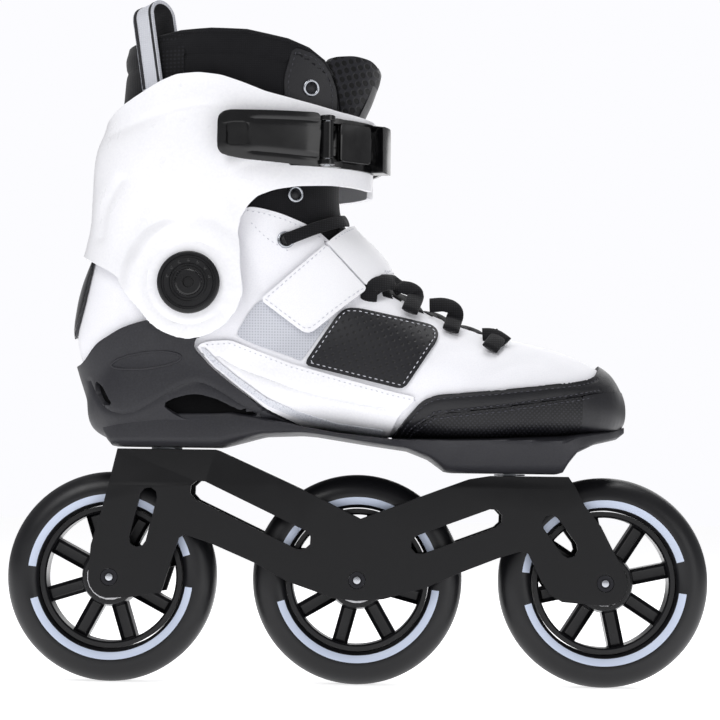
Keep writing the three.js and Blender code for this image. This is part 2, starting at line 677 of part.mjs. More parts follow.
/** Two crossed pairs of laces over the tongue, joined where they cross. */
function laces() {
  const strand = ([x0, y0], [x1, y1]) => {
    const across = new THREE.Vector2(y1 - y0, x0 - x1).setLength(3.4);
    return planPrism(
      [
        [x0 + across.x, y0 + across.y], [x1 + across.x, y1 + across.y],
        [x1 - across.x, y1 - across.y], [x0 - across.x, y0 - across.y],
      ],
      42,
      FAR,
    );
  };
  const rows = [[17, 21], [38, 18], [60, 15]];
  const strands = rows.slice(1).flatMap(([x, y], i) => [
    strand([rows[i][0], -rows[i][1]], [x, y]),
    strand([rows[i][0], rows[i][1]], [x, -y]),
  ]);
  const start = CLEARANCE + 1.2;
  return bootShell(start, start + LACE_WALL).intersect(joined(...strands));
}

// ---------------------------------------------------------------- liner, tongue and footbed
// Lower edge of the parts that lean with the cuff; it clears the boot over the whole lean.
const LEAN_EDGE = [[-150, 92], [-95, 99], [-80, 104], [-66, 114], [-58, 121], [-40, 126], [-11, 128]];
const LINER_STATIC = [
  [-150, -20], [-150, 85.5], [-120, 89.5], [-95, 93.5], [-70, 102], [-53, 110.5], [-37, 108], [-19.6, 100.5],
  [-12, 93.5], [150, 93.5], [150, -20],
];
const COLLAR_TOP = [
  [-11, 160.2], [-12, 166], [-14.5, 176.5], [-18.5, 183.2], [-25.7, 188.9], [-35.4, 193.6], [-54.6, 198.7],
  [-71.3, 199.5], [-85.7, 198.9], [-98.6, 196.3], [-111.5, 194.7], [-150, 198],
];
const TONGUE_UPPER = [
  [-10.6, 128], [20, 128], [20, 184], [8.8, 186.5], [1.9, 190], [-4.4, 189.9], [-18, 188.2],
  [-18.1, 183.8], [-14.1, 176.8], [-11.6, 166.2], [-10.6, 160.2],
];

const tongueLower = () =>
  bootShell(LINER_IN + 0.5, 0)
    .intersect(planView(TONGUE_PLAN, 42))
    .intersect(sideView(LINER_STATIC));

function linerFoot() {
  const grown = TONGUE_PLAN.map(([x, y]) => [x + Math.sign(x) * CLEARANCE, y + Math.sign(y) * CLEARANCE]);
  const shell = bootShell(LINER_IN, LINER_OUT).intersect(sideView(LINER_STATIC));
  return cut(shell, planView(grown, 41.5));
}

const linerCollar = () =>
  cut(legForm(0), legForm(LINER_IN)).intersect(sideView([...LEAN_EDGE, ...COLLAR_TOP]));

const tongueUpper = () => cut(legForm(0), legForm(LINER_IN + 0.5)).intersect(sideView(TONGUE_UPPER));

function footbed() {
  const offset = LINER_IN - CLEARANCE;
  const top = FOOT.map(([x, , under]) => [x, under - offset + FOOTBED_WALL]);
  return footForm(offset).intersect(sideView([[-FAR, -20], [-FAR, 30], ...top, [FAR, 30], [FAR, -20]]));
}

// ---------------------------------------------------------------- cuff and its pivots
const CUFF = [
  ...arc(PIVOT_X, PIVOT_Z, CUFF_EAR_RADIUS, 220, 354, 9),
  [-55.9, 83.5], [-57.3, 98.5], [-56.8, 105], [-52.9, 112], [-48.4, 116.6], [-40.4, 119.7], [-30.3, 121.6],
  [-15.1, 122.8], [30, 123], [30, 153], [-12.5, 157.7], [-30.9, 161.6], [-45.2, 165], [-55.5, 169],
  [-65.7, 172.4], [-75.9, 173.7], [-86.1, 173], [-93.7, 170.1], [-103.3, 164.8], [-113, 158], [-150, 152],
  [-150, 91.5], [-132.5, 91.2], [-123.7, 84.9], [-115.7, 80.8], [-111.9, 77.7], [-107.6, 71.9],
];
const CUFF_GAP = 13; // half of the opening at the front of the cuff

function cuff() {
  const shell = cuffShell(CUFF_IN, CUFF_OUT).intersect(sideView(CUFF));
  const ears = [-1, 1].map((turn) =>
    barY(...PIVOT_PLACE, CUFF_EAR_RADIUS, turn * 42.2, turn * CUFF_EAR_FACE, 28),
  );
  const pockets = barY(...PIVOT_PLACE, CUP_EAR_RADIUS + 2 * CLEARANCE, -CUFF_EAR_INNER, CUFF_EAR_INNER, 24);
  const bore = barY(...PIVOT_PLACE, PIVOT_BOLT_RADIUS + CLEARANCE, -FAR, FAR, 16);
  const opening = block([-30, -CUFF_GAP, 60], [60, CUFF_GAP, FAR + 60]);
  return cut(joined(shell, ...ears), pockets, bore, opening, rivetShank(CLEARANCE));
}

function pivotBolt(turn) {
  const face = CUFF_EAR_FACE + CLEARANCE;
  const head = barY(0, 0, PIVOT_HEAD_RADIUS, turn * face, turn * (face + PIVOT_CAP_WALL + 0.8), 20);
  const shank = barY(0, 0, PIVOT_BOLT_RADIUS, turn * 42.6, turn * (face + 1), 16);
  const outer = turn * (face + PIVOT_CAP_WALL + 0.8);
  const socket = barY(0, 0, HEX_RECESS, outer - 1.6, outer + 1.6, 6);
  return cut(head.add(shank), socket).translate([PIVOT_PLACE[0], 0, PIVOT_PLACE[1]]);
}

function pivotCap(turn) {
  const face = CUFF_EAR_FACE + CLEARANCE;
  const faces = [turn * face, turn * (face + PIVOT_CAP_WALL)].sort((a, b) => a - b);
  const disc = ring(PIVOT_HEAD_RADIUS + CLEARANCE, PIVOT_CAP_RADIUS, ...faces, 28);
  return disc.translate([PIVOT_PLACE[0], 0, PIVOT_PLACE[1]]);
}

// ---------------------------------------------------------------- buckle
const OUTER_HALF = [-FAR, 0];
const PIN_Y = -cuffSide(BUCKLE_PIN_X, (BUCKLE_LOW + BUCKLE_HIGH) / 2, LEVER_IN + BARREL_RISE);
const LEVER = [[-66.2, 153.2], [-62, 155], [-21.2, 155], [-21.2, 129.8], [-53.5, 132.8], [-65.9, 135.3]];
const FACE_LOW = BUCKLE_LOW + 2.5;
const FACE_HIGH = BUCKLE_HIGH - 2.5;

const upright = (low, high, bottom, top) => [[low, bottom], [high, bottom], [high, top], [low, top]];
const cuffSlice = (inner, outer, outline, half = OUTER_HALF) =>
  cuffShell(inner, outer).intersect(sideView(outline, ...half));

function buckleBase() {
  const plate = cuffSlice(BASE_IN, BASE_OUT, upright(-34, 5.5, BUCKLE_LOW, BUCKLE_HIGH));
  const cheeks = [[BUCKLE_LOW, FACE_LOW], [FACE_HIGH, BUCKLE_HIGH]].map(([low, high]) => {
    const lug = barZ(BUCKLE_PIN_X, PIN_Y, BARREL_RADIUS + 0.8, low, high);
    return lug.add(cuffSlice(BASE_IN, LEVER_IN + 2, upright(-18.5, -13.5, low, high)));
  });
  const hoop = cuffSlice(BASE_IN, LEVER_OUT + 0.8, upright(2.6, 5.8, BUCKLE_LOW, BUCKLE_HIGH));
  const ladderSlot = cuffSlice(
    LADDER_IN - CLEARANCE,
    LADDER_OUT + CLEARANCE,
    upright(-40, 20, LADDER_LOW - CLEARANCE, LADDER_HIGH + CLEARANCE),
  );
  const bore = barZ(BUCKLE_PIN_X, PIN_Y, BUCKLE_PIN_RADIUS + CLEARANCE, 100, 180, 12);
  return cut(joined(plate, ...cheeks, hoop), ladderSlot, bore);
}

function buckleLever() {
  const plate = cuffSlice(LEVER_IN, LEVER_OUT, LEVER);
  const tongue = cuffSlice(LEVER_IN + TONGUE_RELIEF, LEVER_OUT, upright(-24, BUCKLE_PIN_X, FACE_LOW + 0.4, FACE_HIGH - 0.4));
  const knuckle = barZ(BUCKLE_PIN_X, PIN_Y, BARREL_RADIUS, FACE_LOW + 0.4, FACE_HIGH - 0.4);
  const window = cuffSlice(0, 30, upright(-62.5, -52.5, 138.5, 149.5));
  const bore = barZ(BUCKLE_PIN_X, PIN_Y, BUCKLE_PIN_RADIUS + CLEARANCE, 100, 180, 12);
  return cut(joined(plate, tongue, knuckle), cuffForm(LEVER_IN - 0.1), window, bore);
}

const bucklePin = () => barZ(BUCKLE_PIN_X, PIN_Y, BUCKLE_PIN_RADIUS, BUCKLE_LOW - 0.4, BUCKLE_HIGH + 0.4, 12);
const bucklePawl = () => cuffSlice(LEVER_IN, LEVER_OUT, upright(-11.6, 2, FACE_LOW, FACE_HIGH));

const RIVET_X = -36;
const RIVET_Z = 142;
const rivetShank = (extra) =>
  barY(RIVET_X, RIVET_Z, 2 + extra, cuffSide(RIVET_X, RIVET_Z, CUFF_IN) - 2, FAR / 2, 12);

function ladderStrap() {
  const band = upright(-30, 60, LADDER_LOW, LADDER_HIGH);
  const medial = [...arc(RIVET_X, RIVET_Z, 8, 90, 270, 8), [60, LADDER_LOW], [60, LADDER_HIGH]];
  const shell = cuffShell(LADDER_IN, LADDER_OUT);
  const outer = shell.intersect(sideView(band, -FAR, 0.01));
  return cut(outer.add(shell.intersect(sideView(medial, 0, FAR))), rivetShank(CLEARANCE));
}

function ladderRivet() {
  const face = cuffSide(RIVET_X - 5, RIVET_Z, LADDER_OUT) + 0.6;
  const head = barY(RIVET_X, RIVET_Z, 5, face, face + 1.8, 16);
  const shank = barY(RIVET_X, RIVET_Z, 2, cuffSide(RIVET_X, RIVET_Z, CUFF_IN) - 1, face + 1, 12);
  return head.add(shank);
}

// ---------------------------------------------------------------- pull loop
const LOOP_PLACE = [-102, -33, 196];
const LOOP_LEAN = 12; // degrees that its top leans to the heel
const LOOP_TURN = 41; // degrees from facing straight out to the side, towards the heel

/** Webbing folded over the liner's rim: one leg outside, one inside, standing clear on top. */
function pullLoop() {
  const outer = 2.6;
  const gap = 5 - LINER_IN;
  const middle = outer - LOOP_WALL - gap / 2;
  const crown = 6;
  const outside = arc(middle, crown, gap / 2 + LOOP_WALL, 0, 180, 8);
  const inside = arc(middle, crown, gap / 2, 180, 0, 8);
  const outline = [
    [outer, -28], ...outside, [middle - gap / 2 - LOOP_WALL, -14], [middle - gap / 2, -14], ...inside,
    [outer - LOOP_WALL, -28],
  ];
  const strip = extruded(outline, LOOP_WIDTH).translate(0, 0, -LOOP_WIDTH / 2).rotateX(Math.PI / 2);
  strip.rotateX(THREE.MathUtils.degToRad(LOOP_LEAN)).rotateZ(THREE.MathUtils.degToRad(-90 - LOOP_TURN));
  return solid(strip.translate(...LOOP_PLACE));
}

// ---------------------------------------------------------------- assembly
[["rear", -AXLE_PITCH], ["middle", 0], ["front", AXLE_PITCH]].forEach(([label, x]) => addWheel(label, x));
piece("frame", frame(), FINISH.frame, skate);
addMount("rear", REAR_MOUNT_X, REAR_DECK_Z, REAR_DECK_WALL);
addMount("front", FRONT_MOUNT_X, FRONT_DECK_Z, FRONT_DECK_WALL);

piece("heel_cup_and_sole", heelCupAndSole(), FINISH.cup, boot);
piece("upper", upper(), FINISH.upper, boot);
piece("toe_cap", sewnOn(TOE_CAP, CLEARANCE, TOE_CAP_WALL), FINISH.leather, boot);
for (const [side, half] of [["lateral", [-FAR, -5]], ["medial", [5, FAR]]]) {
  piece("side_trim_" + side, sewnOn(TRIM, CLEARANCE, TRIM_WALL, ...half), FINISH.trim, boot);
  piece("vent_patch_" + side, sewnOn(PATCH, CLEARANCE, PATCH_WALL, ...half), FINISH.leather, boot);
}
piece("heel_badge", heelBadge(), FINISH.leather, boot);
piece("laces", laces(), FINISH.leather, boot);

const strapIn = 2 * CLEARANCE + PATCH_WALL;
const strap = sewnOn(STRAP, strapIn, STRAP_WALL);
const tabGap = [[-60.5, 60], [-20, 44.3], [5.7, 72.5], [-26, 105.2]];
piece("instep_strap", cut(strap, sideView(tabGap, -FAR, 0)), FINISH.upper, boot);
piece("strap_tab", strap.intersect(sideView(STRAP_SPLIT, -FAR, 0)), FINISH.upper, boot);

piece("liner_foot", linerFoot(), FINISH.liner, boot);
piece("tongue_lower", tongueLower(), FINISH.liner, boot);
piece("footbed", footbed(), FINISH.liner, boot);
piece("liner_collar", linerCollar(), FINISH.liner, boot);
piece("tongue_upper", tongueUpper(), FINISH.liner, boot);
piece("pull_loop", pullLoop(), FINISH.webbing, boot);

piece("cuff", cuff(), FINISH.cuff, boot);
for (const [side, turn] of [["lateral", -1], ["medial", 1]]) {
  piece("pivot_bolt_" + side, pivotBolt(turn), FINISH.buckle, boot);
  piece("pivot_cap_" + side, pivotCap(turn), FINISH.buckle, boot);
}
piece("buckle_base", buckleBase(), FINISH.buckle, boot);
piece("buckle_lever", buckleLever(), FINISH.buckle, boot);
piece("buckle_pin", bucklePin(), FINISH.steel, boot);
piece("buckle_pawl", bucklePawl(), FINISH.buckle, boot);
piece("ladder_strap", ladderStrap(), FINISH.buckle, boot);
piece("ladder_rivet", ladderRivet(), FINISH.steel, boot);

export default skate;
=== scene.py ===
"""An inline skate for the right foot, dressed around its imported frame.

Heel at -X, toe at +X, outer side of the foot at -Y, ground at Z = 0. Shapes are worked in millimetres,
boot pieces above the boot's rear mounting face, and are turned to metres when a piece is finished.
"""

from __future__ import annotations

import logging
import math
from dataclasses import dataclass, replace
from enum import Enum
from typing import Callable, Iterable, Sequence

import bmesh
import bpy
import numpy as np
from mathutils import Matrix, Vector
from mathutils.bvhtree import BVHTree

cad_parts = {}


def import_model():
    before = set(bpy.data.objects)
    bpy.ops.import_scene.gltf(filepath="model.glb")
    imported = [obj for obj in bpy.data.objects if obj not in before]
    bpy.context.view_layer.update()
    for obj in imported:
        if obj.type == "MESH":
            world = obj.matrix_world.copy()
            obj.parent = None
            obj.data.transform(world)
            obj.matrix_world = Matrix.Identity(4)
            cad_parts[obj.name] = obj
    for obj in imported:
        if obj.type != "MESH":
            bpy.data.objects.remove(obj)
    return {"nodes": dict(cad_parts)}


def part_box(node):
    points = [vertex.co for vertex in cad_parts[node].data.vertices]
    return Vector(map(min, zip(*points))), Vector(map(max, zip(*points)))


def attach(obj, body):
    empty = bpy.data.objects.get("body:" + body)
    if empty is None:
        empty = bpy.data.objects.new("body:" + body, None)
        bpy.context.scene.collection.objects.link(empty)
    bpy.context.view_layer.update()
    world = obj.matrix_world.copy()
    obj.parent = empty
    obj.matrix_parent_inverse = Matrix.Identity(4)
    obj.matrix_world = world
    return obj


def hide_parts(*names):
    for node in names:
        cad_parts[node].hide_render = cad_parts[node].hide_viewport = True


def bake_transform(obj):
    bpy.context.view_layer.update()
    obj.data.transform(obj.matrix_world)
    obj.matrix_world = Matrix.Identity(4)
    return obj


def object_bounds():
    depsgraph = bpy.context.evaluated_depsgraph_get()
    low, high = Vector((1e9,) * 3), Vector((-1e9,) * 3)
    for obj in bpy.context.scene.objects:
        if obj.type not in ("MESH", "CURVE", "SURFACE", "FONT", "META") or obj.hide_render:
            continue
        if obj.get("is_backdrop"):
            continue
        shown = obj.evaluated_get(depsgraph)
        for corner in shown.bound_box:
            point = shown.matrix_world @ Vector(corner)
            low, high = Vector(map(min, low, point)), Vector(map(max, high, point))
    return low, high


log = logging.getLogger("skate")

MM = 0.001
FAR = 400.0
SIDES = ((-1, "lateral"), (1, "medial"))  # the foot's outer side is at -Y

SEWN = 0.3  # how far a piece on the upper stands off the boot's form
SAME_PLACE = 1e-4  # vertices this close are one
CUT_MARGIN = 4.0  # faces this far outside a cut are dropped before it is made
LEAST_SHARE = 0.02  # a cut stays this share of an edge away from the edge's ends
RIM_MERGE = 0.25  # vertices this close on a cut edge are joined
SLIVER = 0.05  # edges shorter than this are dissolved after a cut
RIM_ANGLE = 50.0  # degrees; a wall's edges sharper than this are softened
SHARP_ANGLE = 32.0  # degrees; flat pieces and walls keep edges sharper than this
SKIN_PASSES = 14  # rounds of easing where the foot meets the leg
EAR_LEAST_Y = 20.0  # only places this far from the middle are pressed flat round a pivot
RING_RADIUS, RING_HALF_WIDTH = 37.6, 1.75  # the ring printed on a tyre's side
RING_LEAN, RING_GAP = 0.08, 0.2  # its gaps' turn in radians, and the sine of half their width

Point = tuple[float, float]
Field = Callable[[np.ndarray], np.ndarray]


# ------------------------------------------------------------------ small tools
def curve_through(knots: Sequence[float], values: Sequence[float], at: np.ndarray) -> np.ndarray:
    """Reads a smooth curve that passes through every knot.

    Args:
        knots: rising places of the given values.
        values: one value at each knot.
        at: places to read.

    Returns:
        The curve's value at each place.
    """
    k, v = np.asarray(knots, float), np.asarray(values, float)
    slope = np.gradient(v, k)
    at = np.clip(at, k[0], k[-1])
    i = np.clip(np.searchsorted(k, at) - 1, 0, len(k) - 2)
    h = k[i + 1] - k[i]
    t = (at - k[i]) / h
    start = (1 + 2 * t) * (1 - t) ** 2 * v[i] + t * (1 - t) ** 2 * h * slope[i]
    end = t * t * (3 - 2 * t) * v[i + 1] + t * t * (t - 1) * h * slope[i + 1]
    return start + end


def power(value: np.ndarray, exponent: float) -> np.ndarray:
    """Raises a signed value to a power and keeps its sign."""
    return np.sign(value) * np.abs(value) ** exponent


def rounded(points: Sequence[Point], radius: float, closed: bool = True) -> list[Point]:
    """Turns the corners of an outline into short curves.

    Args:
        points: the outline's corners.
        radius: how far from a corner its curve starts.
        closed: whether the last corner joins the first.

    Returns:
        The outline with its corners rounded.
    """
    corners = [Vector(p) for p in points]
    made = [] if closed else [corners[0]]
    inner = range(len(corners)) if closed else range(1, len(corners) - 1)
    for i in inner:
        before, here, after = corners[i - 1], corners[i], corners[(i + 1) % len(corners)]
        start = here + (before - here) * min(0.45, radius / max((before - here).length, 1e-6))
        end = here + (after - here) * min(0.45, radius / max((after - here).length, 1e-6))
        for t in (0.0, 0.25, 0.5, 0.75, 1.0):
            made.append(start * (1 - t) ** 2 + here * 2 * t * (1 - t) + end * t * t)
    if not closed:
        made.append(corners[-1])
    return [tuple(p) for p in made]


def arc(x: float, z: float, radius: float, start: float, end: float, steps: int = 24) -> list[Point]:
    """Points of an arc in degrees, both ends included."""
    angles = np.radians(np.linspace(start, end, steps + 1))
    return [(x + radius * math.cos(a), z + radius * math.sin(a)) for a in angles]


def path_distance(flat: np.ndarray, points: Sequence[Point], closed: bool) -> np.ndarray:
    """Distance of each flat point to a run of straight pieces.

    Args:
        flat: places, one row each.
        points: the run's corners.
        closed: whether the run ends where it starts.

    Returns:
        One distance for each place.
    """
    a = np.asarray(points, float)
    b = np.roll(a, -1, axis=0)
    if not closed:
        a, b = a[:-1], b[:-1]
    best = np.full(len(flat), np.inf)
    for start, end in zip(a, b):
        along = end - start
        t = np.clip(((flat - start) @ along) / max(along @ along, 1e-9), 0, 1)
        best = np.minimum(best, np.hypot(*(flat - start - t[:, None] * along).T))
    return best


def inside(points: Sequence[Point], axes: tuple[int, int] = (0, 2)) -> Field:
    """A field that is positive inside an outline, by the distance to it.

    Args:
        points: the closed outline.
        axes: the two axes that the outline is drawn in.

    Returns:
        The field.
    """
    corners = np.asarray(points, float)

    def field(places: np.ndarray) -> np.ndarray:
        flat = places[:, axes]
        within = np.zeros(len(flat), bool)
        for (x0, y0), (x1, y1) in zip(corners, np.roll(corners, -1, axis=0)):
            spans = (y0 > flat[:, 1]) != (y1 > flat[:, 1])
            if y0 != y1:
                within ^= spans & (flat[:, 0] < (x1 - x0) * (flat[:, 1] - y0) / (y1 - y0) + x0)
        distance = path_distance(flat, corners, True)
        return np.where(within, distance, -distance)

    return field


def both(*fields: Field) -> Field:
    """Where every field is positive."""
    return lambda places: np.minimum.reduce([f(places) for f in fields])


def either(*fields: Field) -> Field:
    """Where any field is positive."""
    return lambda places: np.maximum.reduce([f(places) for f in fields])


def outside(field: Field) -> Field:
    """Where a field is negative."""
    return lambda places: -field(places)


def beyond(axis: int, limit: float, sign: int = 1) -> Field:
    """Where one coordinate is past a limit, in the direction of the sign."""
    return lambda places: sign * (places[:, axis] - limit)


OUTER_SIDE = beyond(1, 0, -1)


def places_of(bm: bmesh.types.BMesh) -> np.ndarray:
    """The places of a mesh's vertices, one row each."""
    return np.array([v.co for v in bm.verts], float).reshape(-1, 3)


def moved(bm: bmesh.types.BMesh, places: np.ndarray) -> bmesh.types.BMesh:
    """Puts a mesh's vertices at new places."""
    for vert, place in zip(bm.verts, places):
        vert.co = place
    return bm


def grid(
    across: int, along: int, shape: Callable[[np.ndarray, np.ndarray], np.ndarray]
) -> bmesh.types.BMesh:
    """A sheet of quads shaped by a formula.

    Args:
        across: faces in the first direction.
        along: faces in the second direction.
        shape: gives places from two shares, each from 0 to 1.

    Returns:
        The shaped sheet, with edges that meet joined.
    """
    bm = bmesh.new()
    bmesh.ops.create_grid(bm, x_segments=across, y_segments=along, size=0.5)
    flat = places_of(bm) + 0.5
    moved(bm, shape(flat[:, 0], flat[:, 1]))
    bmesh.ops.remove_doubles(bm, verts=bm.verts, dist=SAME_PLACE)
    return bm


def closed_up(bm: bmesh.types.BMesh) -> bmesh.types.BMesh:
    """Fills a mesh's open ends and turns its faces outwards."""
    bmesh.ops.holes_fill(bm, edges=[e for e in bm.edges if e.is_boundary], sides=0)
    bmesh.ops.recalc_face_normals(bm, faces=bm.faces)
    return bm


def trimmed(bm: bmesh.types.BMesh, field: Field) -> bmesh.types.BMesh:
    """Cuts a mesh along a field's zero line and keeps the positive side.

    Args:
        bm: the mesh, which is changed.
        field: positive where the mesh stays.

    Returns:
        The same mesh.
    """
    value = dict(zip(bm.verts, field(places_of(bm))))
    away = [f for f in bm.faces if all(value[v] < -CUT_MARGIN for v in f.verts)]
    bmesh.ops.delete(bm, geom=away, context="FACES")
    bmesh.ops.delete(bm, geom=[v for v in bm.verts if not v.link_faces], context="VERTS")
    value = {v: value[v] for v in bm.verts}
    crossing = [e for e in bm.edges if (value[e.verts[0]] > 0) != (value[e.verts[1]] > 0)]
    fresh = []
    for edge in crossing:
        a, b = edge.verts
        share = value[a] / (value[a] - value[b])
        fresh.append(bmesh.utils.edge_split(edge, a, min(max(share, LEAST_SHARE), 1 - LEAST_SHARE))[1])
    if fresh:
        bmesh.ops.connect_verts(bm, verts=fresh)
    kept = set(fresh)
    gone = [v for v in bm.verts if v not in kept and value[v] <= 0]
    bmesh.ops.delete(bm, geom=gone, context="VERTS")
    rim = [v for v in bm.verts if v.is_valid and v.is_boundary]
    bmesh.ops.remove_doubles(bm, verts=rim, dist=RIM_MERGE)
    bmesh.ops.dissolve_degenerate(bm, dist=SLIVER, edges=bm.edges)
    bmesh.ops.delete(bm, geom=[v for v in bm.verts if not v.link_faces], context="VERTS")
    return bm


def finer(bm: bmesh.types.BMesh, times: int = 1) -> bmesh.types.BMesh:
    """Halves a mesh's faces and eases the new vertices onto a smooth surface."""
    for _ in range(times):
        bmesh.ops.subdivide_edges(bm, edges=bm.edges, cuts=1, use_grid_fill=True)
        within = [v for v in bm.verts if not v.is_boundary]
        for _ in range(2):
            bmesh.ops.smooth_vert(
                bm, verts=within, factor=0.5, use_axis_x=True, use_axis_y=True, use_axis_z=True
            )
    return bm


def pushed(bm: bmesh.types.BMesh, amount: np.ndarray | float) -> bmesh.types.BMesh:
    """Moves a mesh's vertices out along their normals."""
    bm.normal_update()
    normals = np.array([v.normal for v in bm.verts], float)
    return moved(bm, places_of(bm) + normals * np.reshape(amount, (-1, 1)))


def groove(points: Sequence[Point], width: float, depth: float) -> Field:
    """A push that sinks a soft channel along a run in side view.

    Args:
        points: the run.
        width: half of the channel's width.
        depth: how far it sinks; negative raises a rib.

    Returns:
        The push for each place.
    """
    return lambda places: -depth * np.exp(-((path_distance(places[:, (0, 2)], points, False) / width) ** 2))


def joined(parts: Iterable[bmesh.types.BMesh]) -> bmesh.types.BMesh:
    """Gathers several meshes into one and frees them."""
    whole = bmesh.new()
    for part in parts:
        mesh = bpy.data.meshes.new("part")
        part.to_mesh(mesh)
        part.free()
        whole.from_mesh(mesh)
        bpy.data.meshes.remove(mesh)
    return whole


def tube(
    run: Sequence[Vector], radius: float, flat: float = 1.0, sides: int = 10, faces: Sequence[Vector] = ()
) -> bmesh.types.BMesh:
    """A closed tube, round or flattened, along a run of places.

    Args:
        run: the places.
        radius: half of its width.
        flat: its thickness as a share of its width.
        sides: faces round it.
        faces: where its flat side looks at each place.

    Returns:
        The tube.
    """
    across = Vector((0, 0, 1))
    frames = []
    for i, here in enumerate(run):
        along = (run[min(i + 1, len(run) - 1)] - run[max(i - 1, 0)]).normalized()
        if faces:
            across = faces[i].cross(along)
        across = (across - along * across.dot(along)).normalized()
        frames.append((here, across, along.cross(across)))
    bm = bmesh.new()
    rings = []
    for here, wide, thin in frames:
        made = bmesh.ops.create_circle(bm, segments=sides, radius=radius)["verts"]
        for vert in made:
            vert.co = here + wide * vert.co.x + thin * vert.co.y * flat
        rings.append(made)
    for a, b in zip(rings, rings[1:]):
        for i in range(sides):
            bm.faces.new((a[i], a[(i + 1) % sides], b[(i + 1) % sides], b[i]))
    return closed_up(bm)


def turned(profile: Sequence[Point], steps: int = 96) -> bmesh.types.BMesh:
    """Spins a closed profile of radius and Y about the Y axis.

    Args:
        profile: corners as radius and Y; the last joins the first unless both lie on the axis.
        steps: faces in a full turn.

    Returns:
        The closed turned shape.
    """
    bm = bmesh.new()
    verts = [bm.verts.new((r, y, 0)) for r, y in profile]
    open_run = profile[0][0] == 0 and profile[-1][0] == 0
    pairs = zip(verts, verts[1:] + ([] if open_run else verts[:1]))
    edges = [bm.edges.new(pair) for pair in pairs]
    bmesh.ops.spin(
        bm, geom=verts + edges, cent=(0, 0, 0), axis=(0, 1, 0), angle=math.tau, steps=steps, use_merge=True
    )
    bmesh.ops.remove_doubles(bm, verts=bm.verts, dist=SAME_PLACE)
    bmesh.ops.recalc_face_normals(bm, faces=bm.faces)
    return bm


def box(low: Sequence[float], high: Sequence[float]) -> bmesh.types.BMesh:
    """A block between two corners.

    Args:
        low: lowest corner.
        high: highest corner.

    Returns:
        The block.
    """
    bm = bmesh.new()
    low, high = Vector(low), Vector(high)
    place = Matrix.Translation((low + high) / 2) @ Matrix.Diagonal((*(high - low), 1))
    bmesh.ops.create_cube(bm, size=1, matrix=place)
    return bm


def softened(bm: bmesh.types.BMesh, width: float, angle: float = 35) -> bmesh.types.BMesh:
    """Bevels the edges of a mesh that are sharper than an angle.

    Args:
        bm: the mesh, which is changed.
        width: the bevel's width; nothing is done at zero.
        angle: the smallest turn in degrees that counts as an edge.

    Returns:
        The same mesh.
    """
    if width > 0:
        sharp = [e for e in bm.edges if e.is_manifold and e.calc_face_angle(0) > math.radians(angle)]
        bmesh.ops.bevel(
            bm, geom=sharp, offset=width, affect="EDGES", segments=2, profile=0.5,
            material=-1, clamp_overlap=True, offset_type="OFFSET",
        )
    return bm


# ------------------------------------------------------------------ finishes
def linear(code: str) -> tuple[float, float, float, float]:
    """Turns an sRGB hex colour into linear red, green and blue, with an alpha of one."""
    parts = [int(code[i : i + 2], 16) / 255 for i in (1, 3, 5)]
    return (*[c / 12.92 if c <= 0.04045 else ((c + 0.055) / 1.055) ** 2.4 for c in parts], 1.0)


def add(tree: bpy.types.NodeTree, kind: str, settings: dict | None = None, **sockets) -> bpy.types.Node:
    """Adds one node with its settings, constants and links.

    Args:
        tree: the material's nodes.
        kind: the node's type, without its ShaderNode prefix.
        settings: attributes of the node.
        **sockets: inputs by name or place, as constants or as the output socket to link.

    Returns:
        The node.
    """
    node = tree.nodes.new("ShaderNode" + kind)
    for key, value in (settings or {}).items():
        setattr(node, key, value)
    for key, value in sockets.items():
        name = key.replace("_", " ")
        socket = node.inputs[int(key[1:])] if key[0] == "i" and key[1:].isdigit() else node.inputs[name]
        if isinstance(value, bpy.types.NodeSocket):
            tree.links.new(value, socket)
        else:
            socket.default_value = value
    return node


class Pattern(Enum):
    """How a finish's surface was made."""

    MOULDED = "fine moulding texture"
    GRAIN = "leather grain"
    KNIT = "knitted cloth"
    WEAVE = "diagonal woven panel"
    NET = "open mesh"
    BRUSHED = "drawn or brushed metal"
    PRINTED_RING = "cast tyre with a printed ring"
    VENTED = "leather with rows of small holes"
    SPECKLED = "moulded with fine specks"


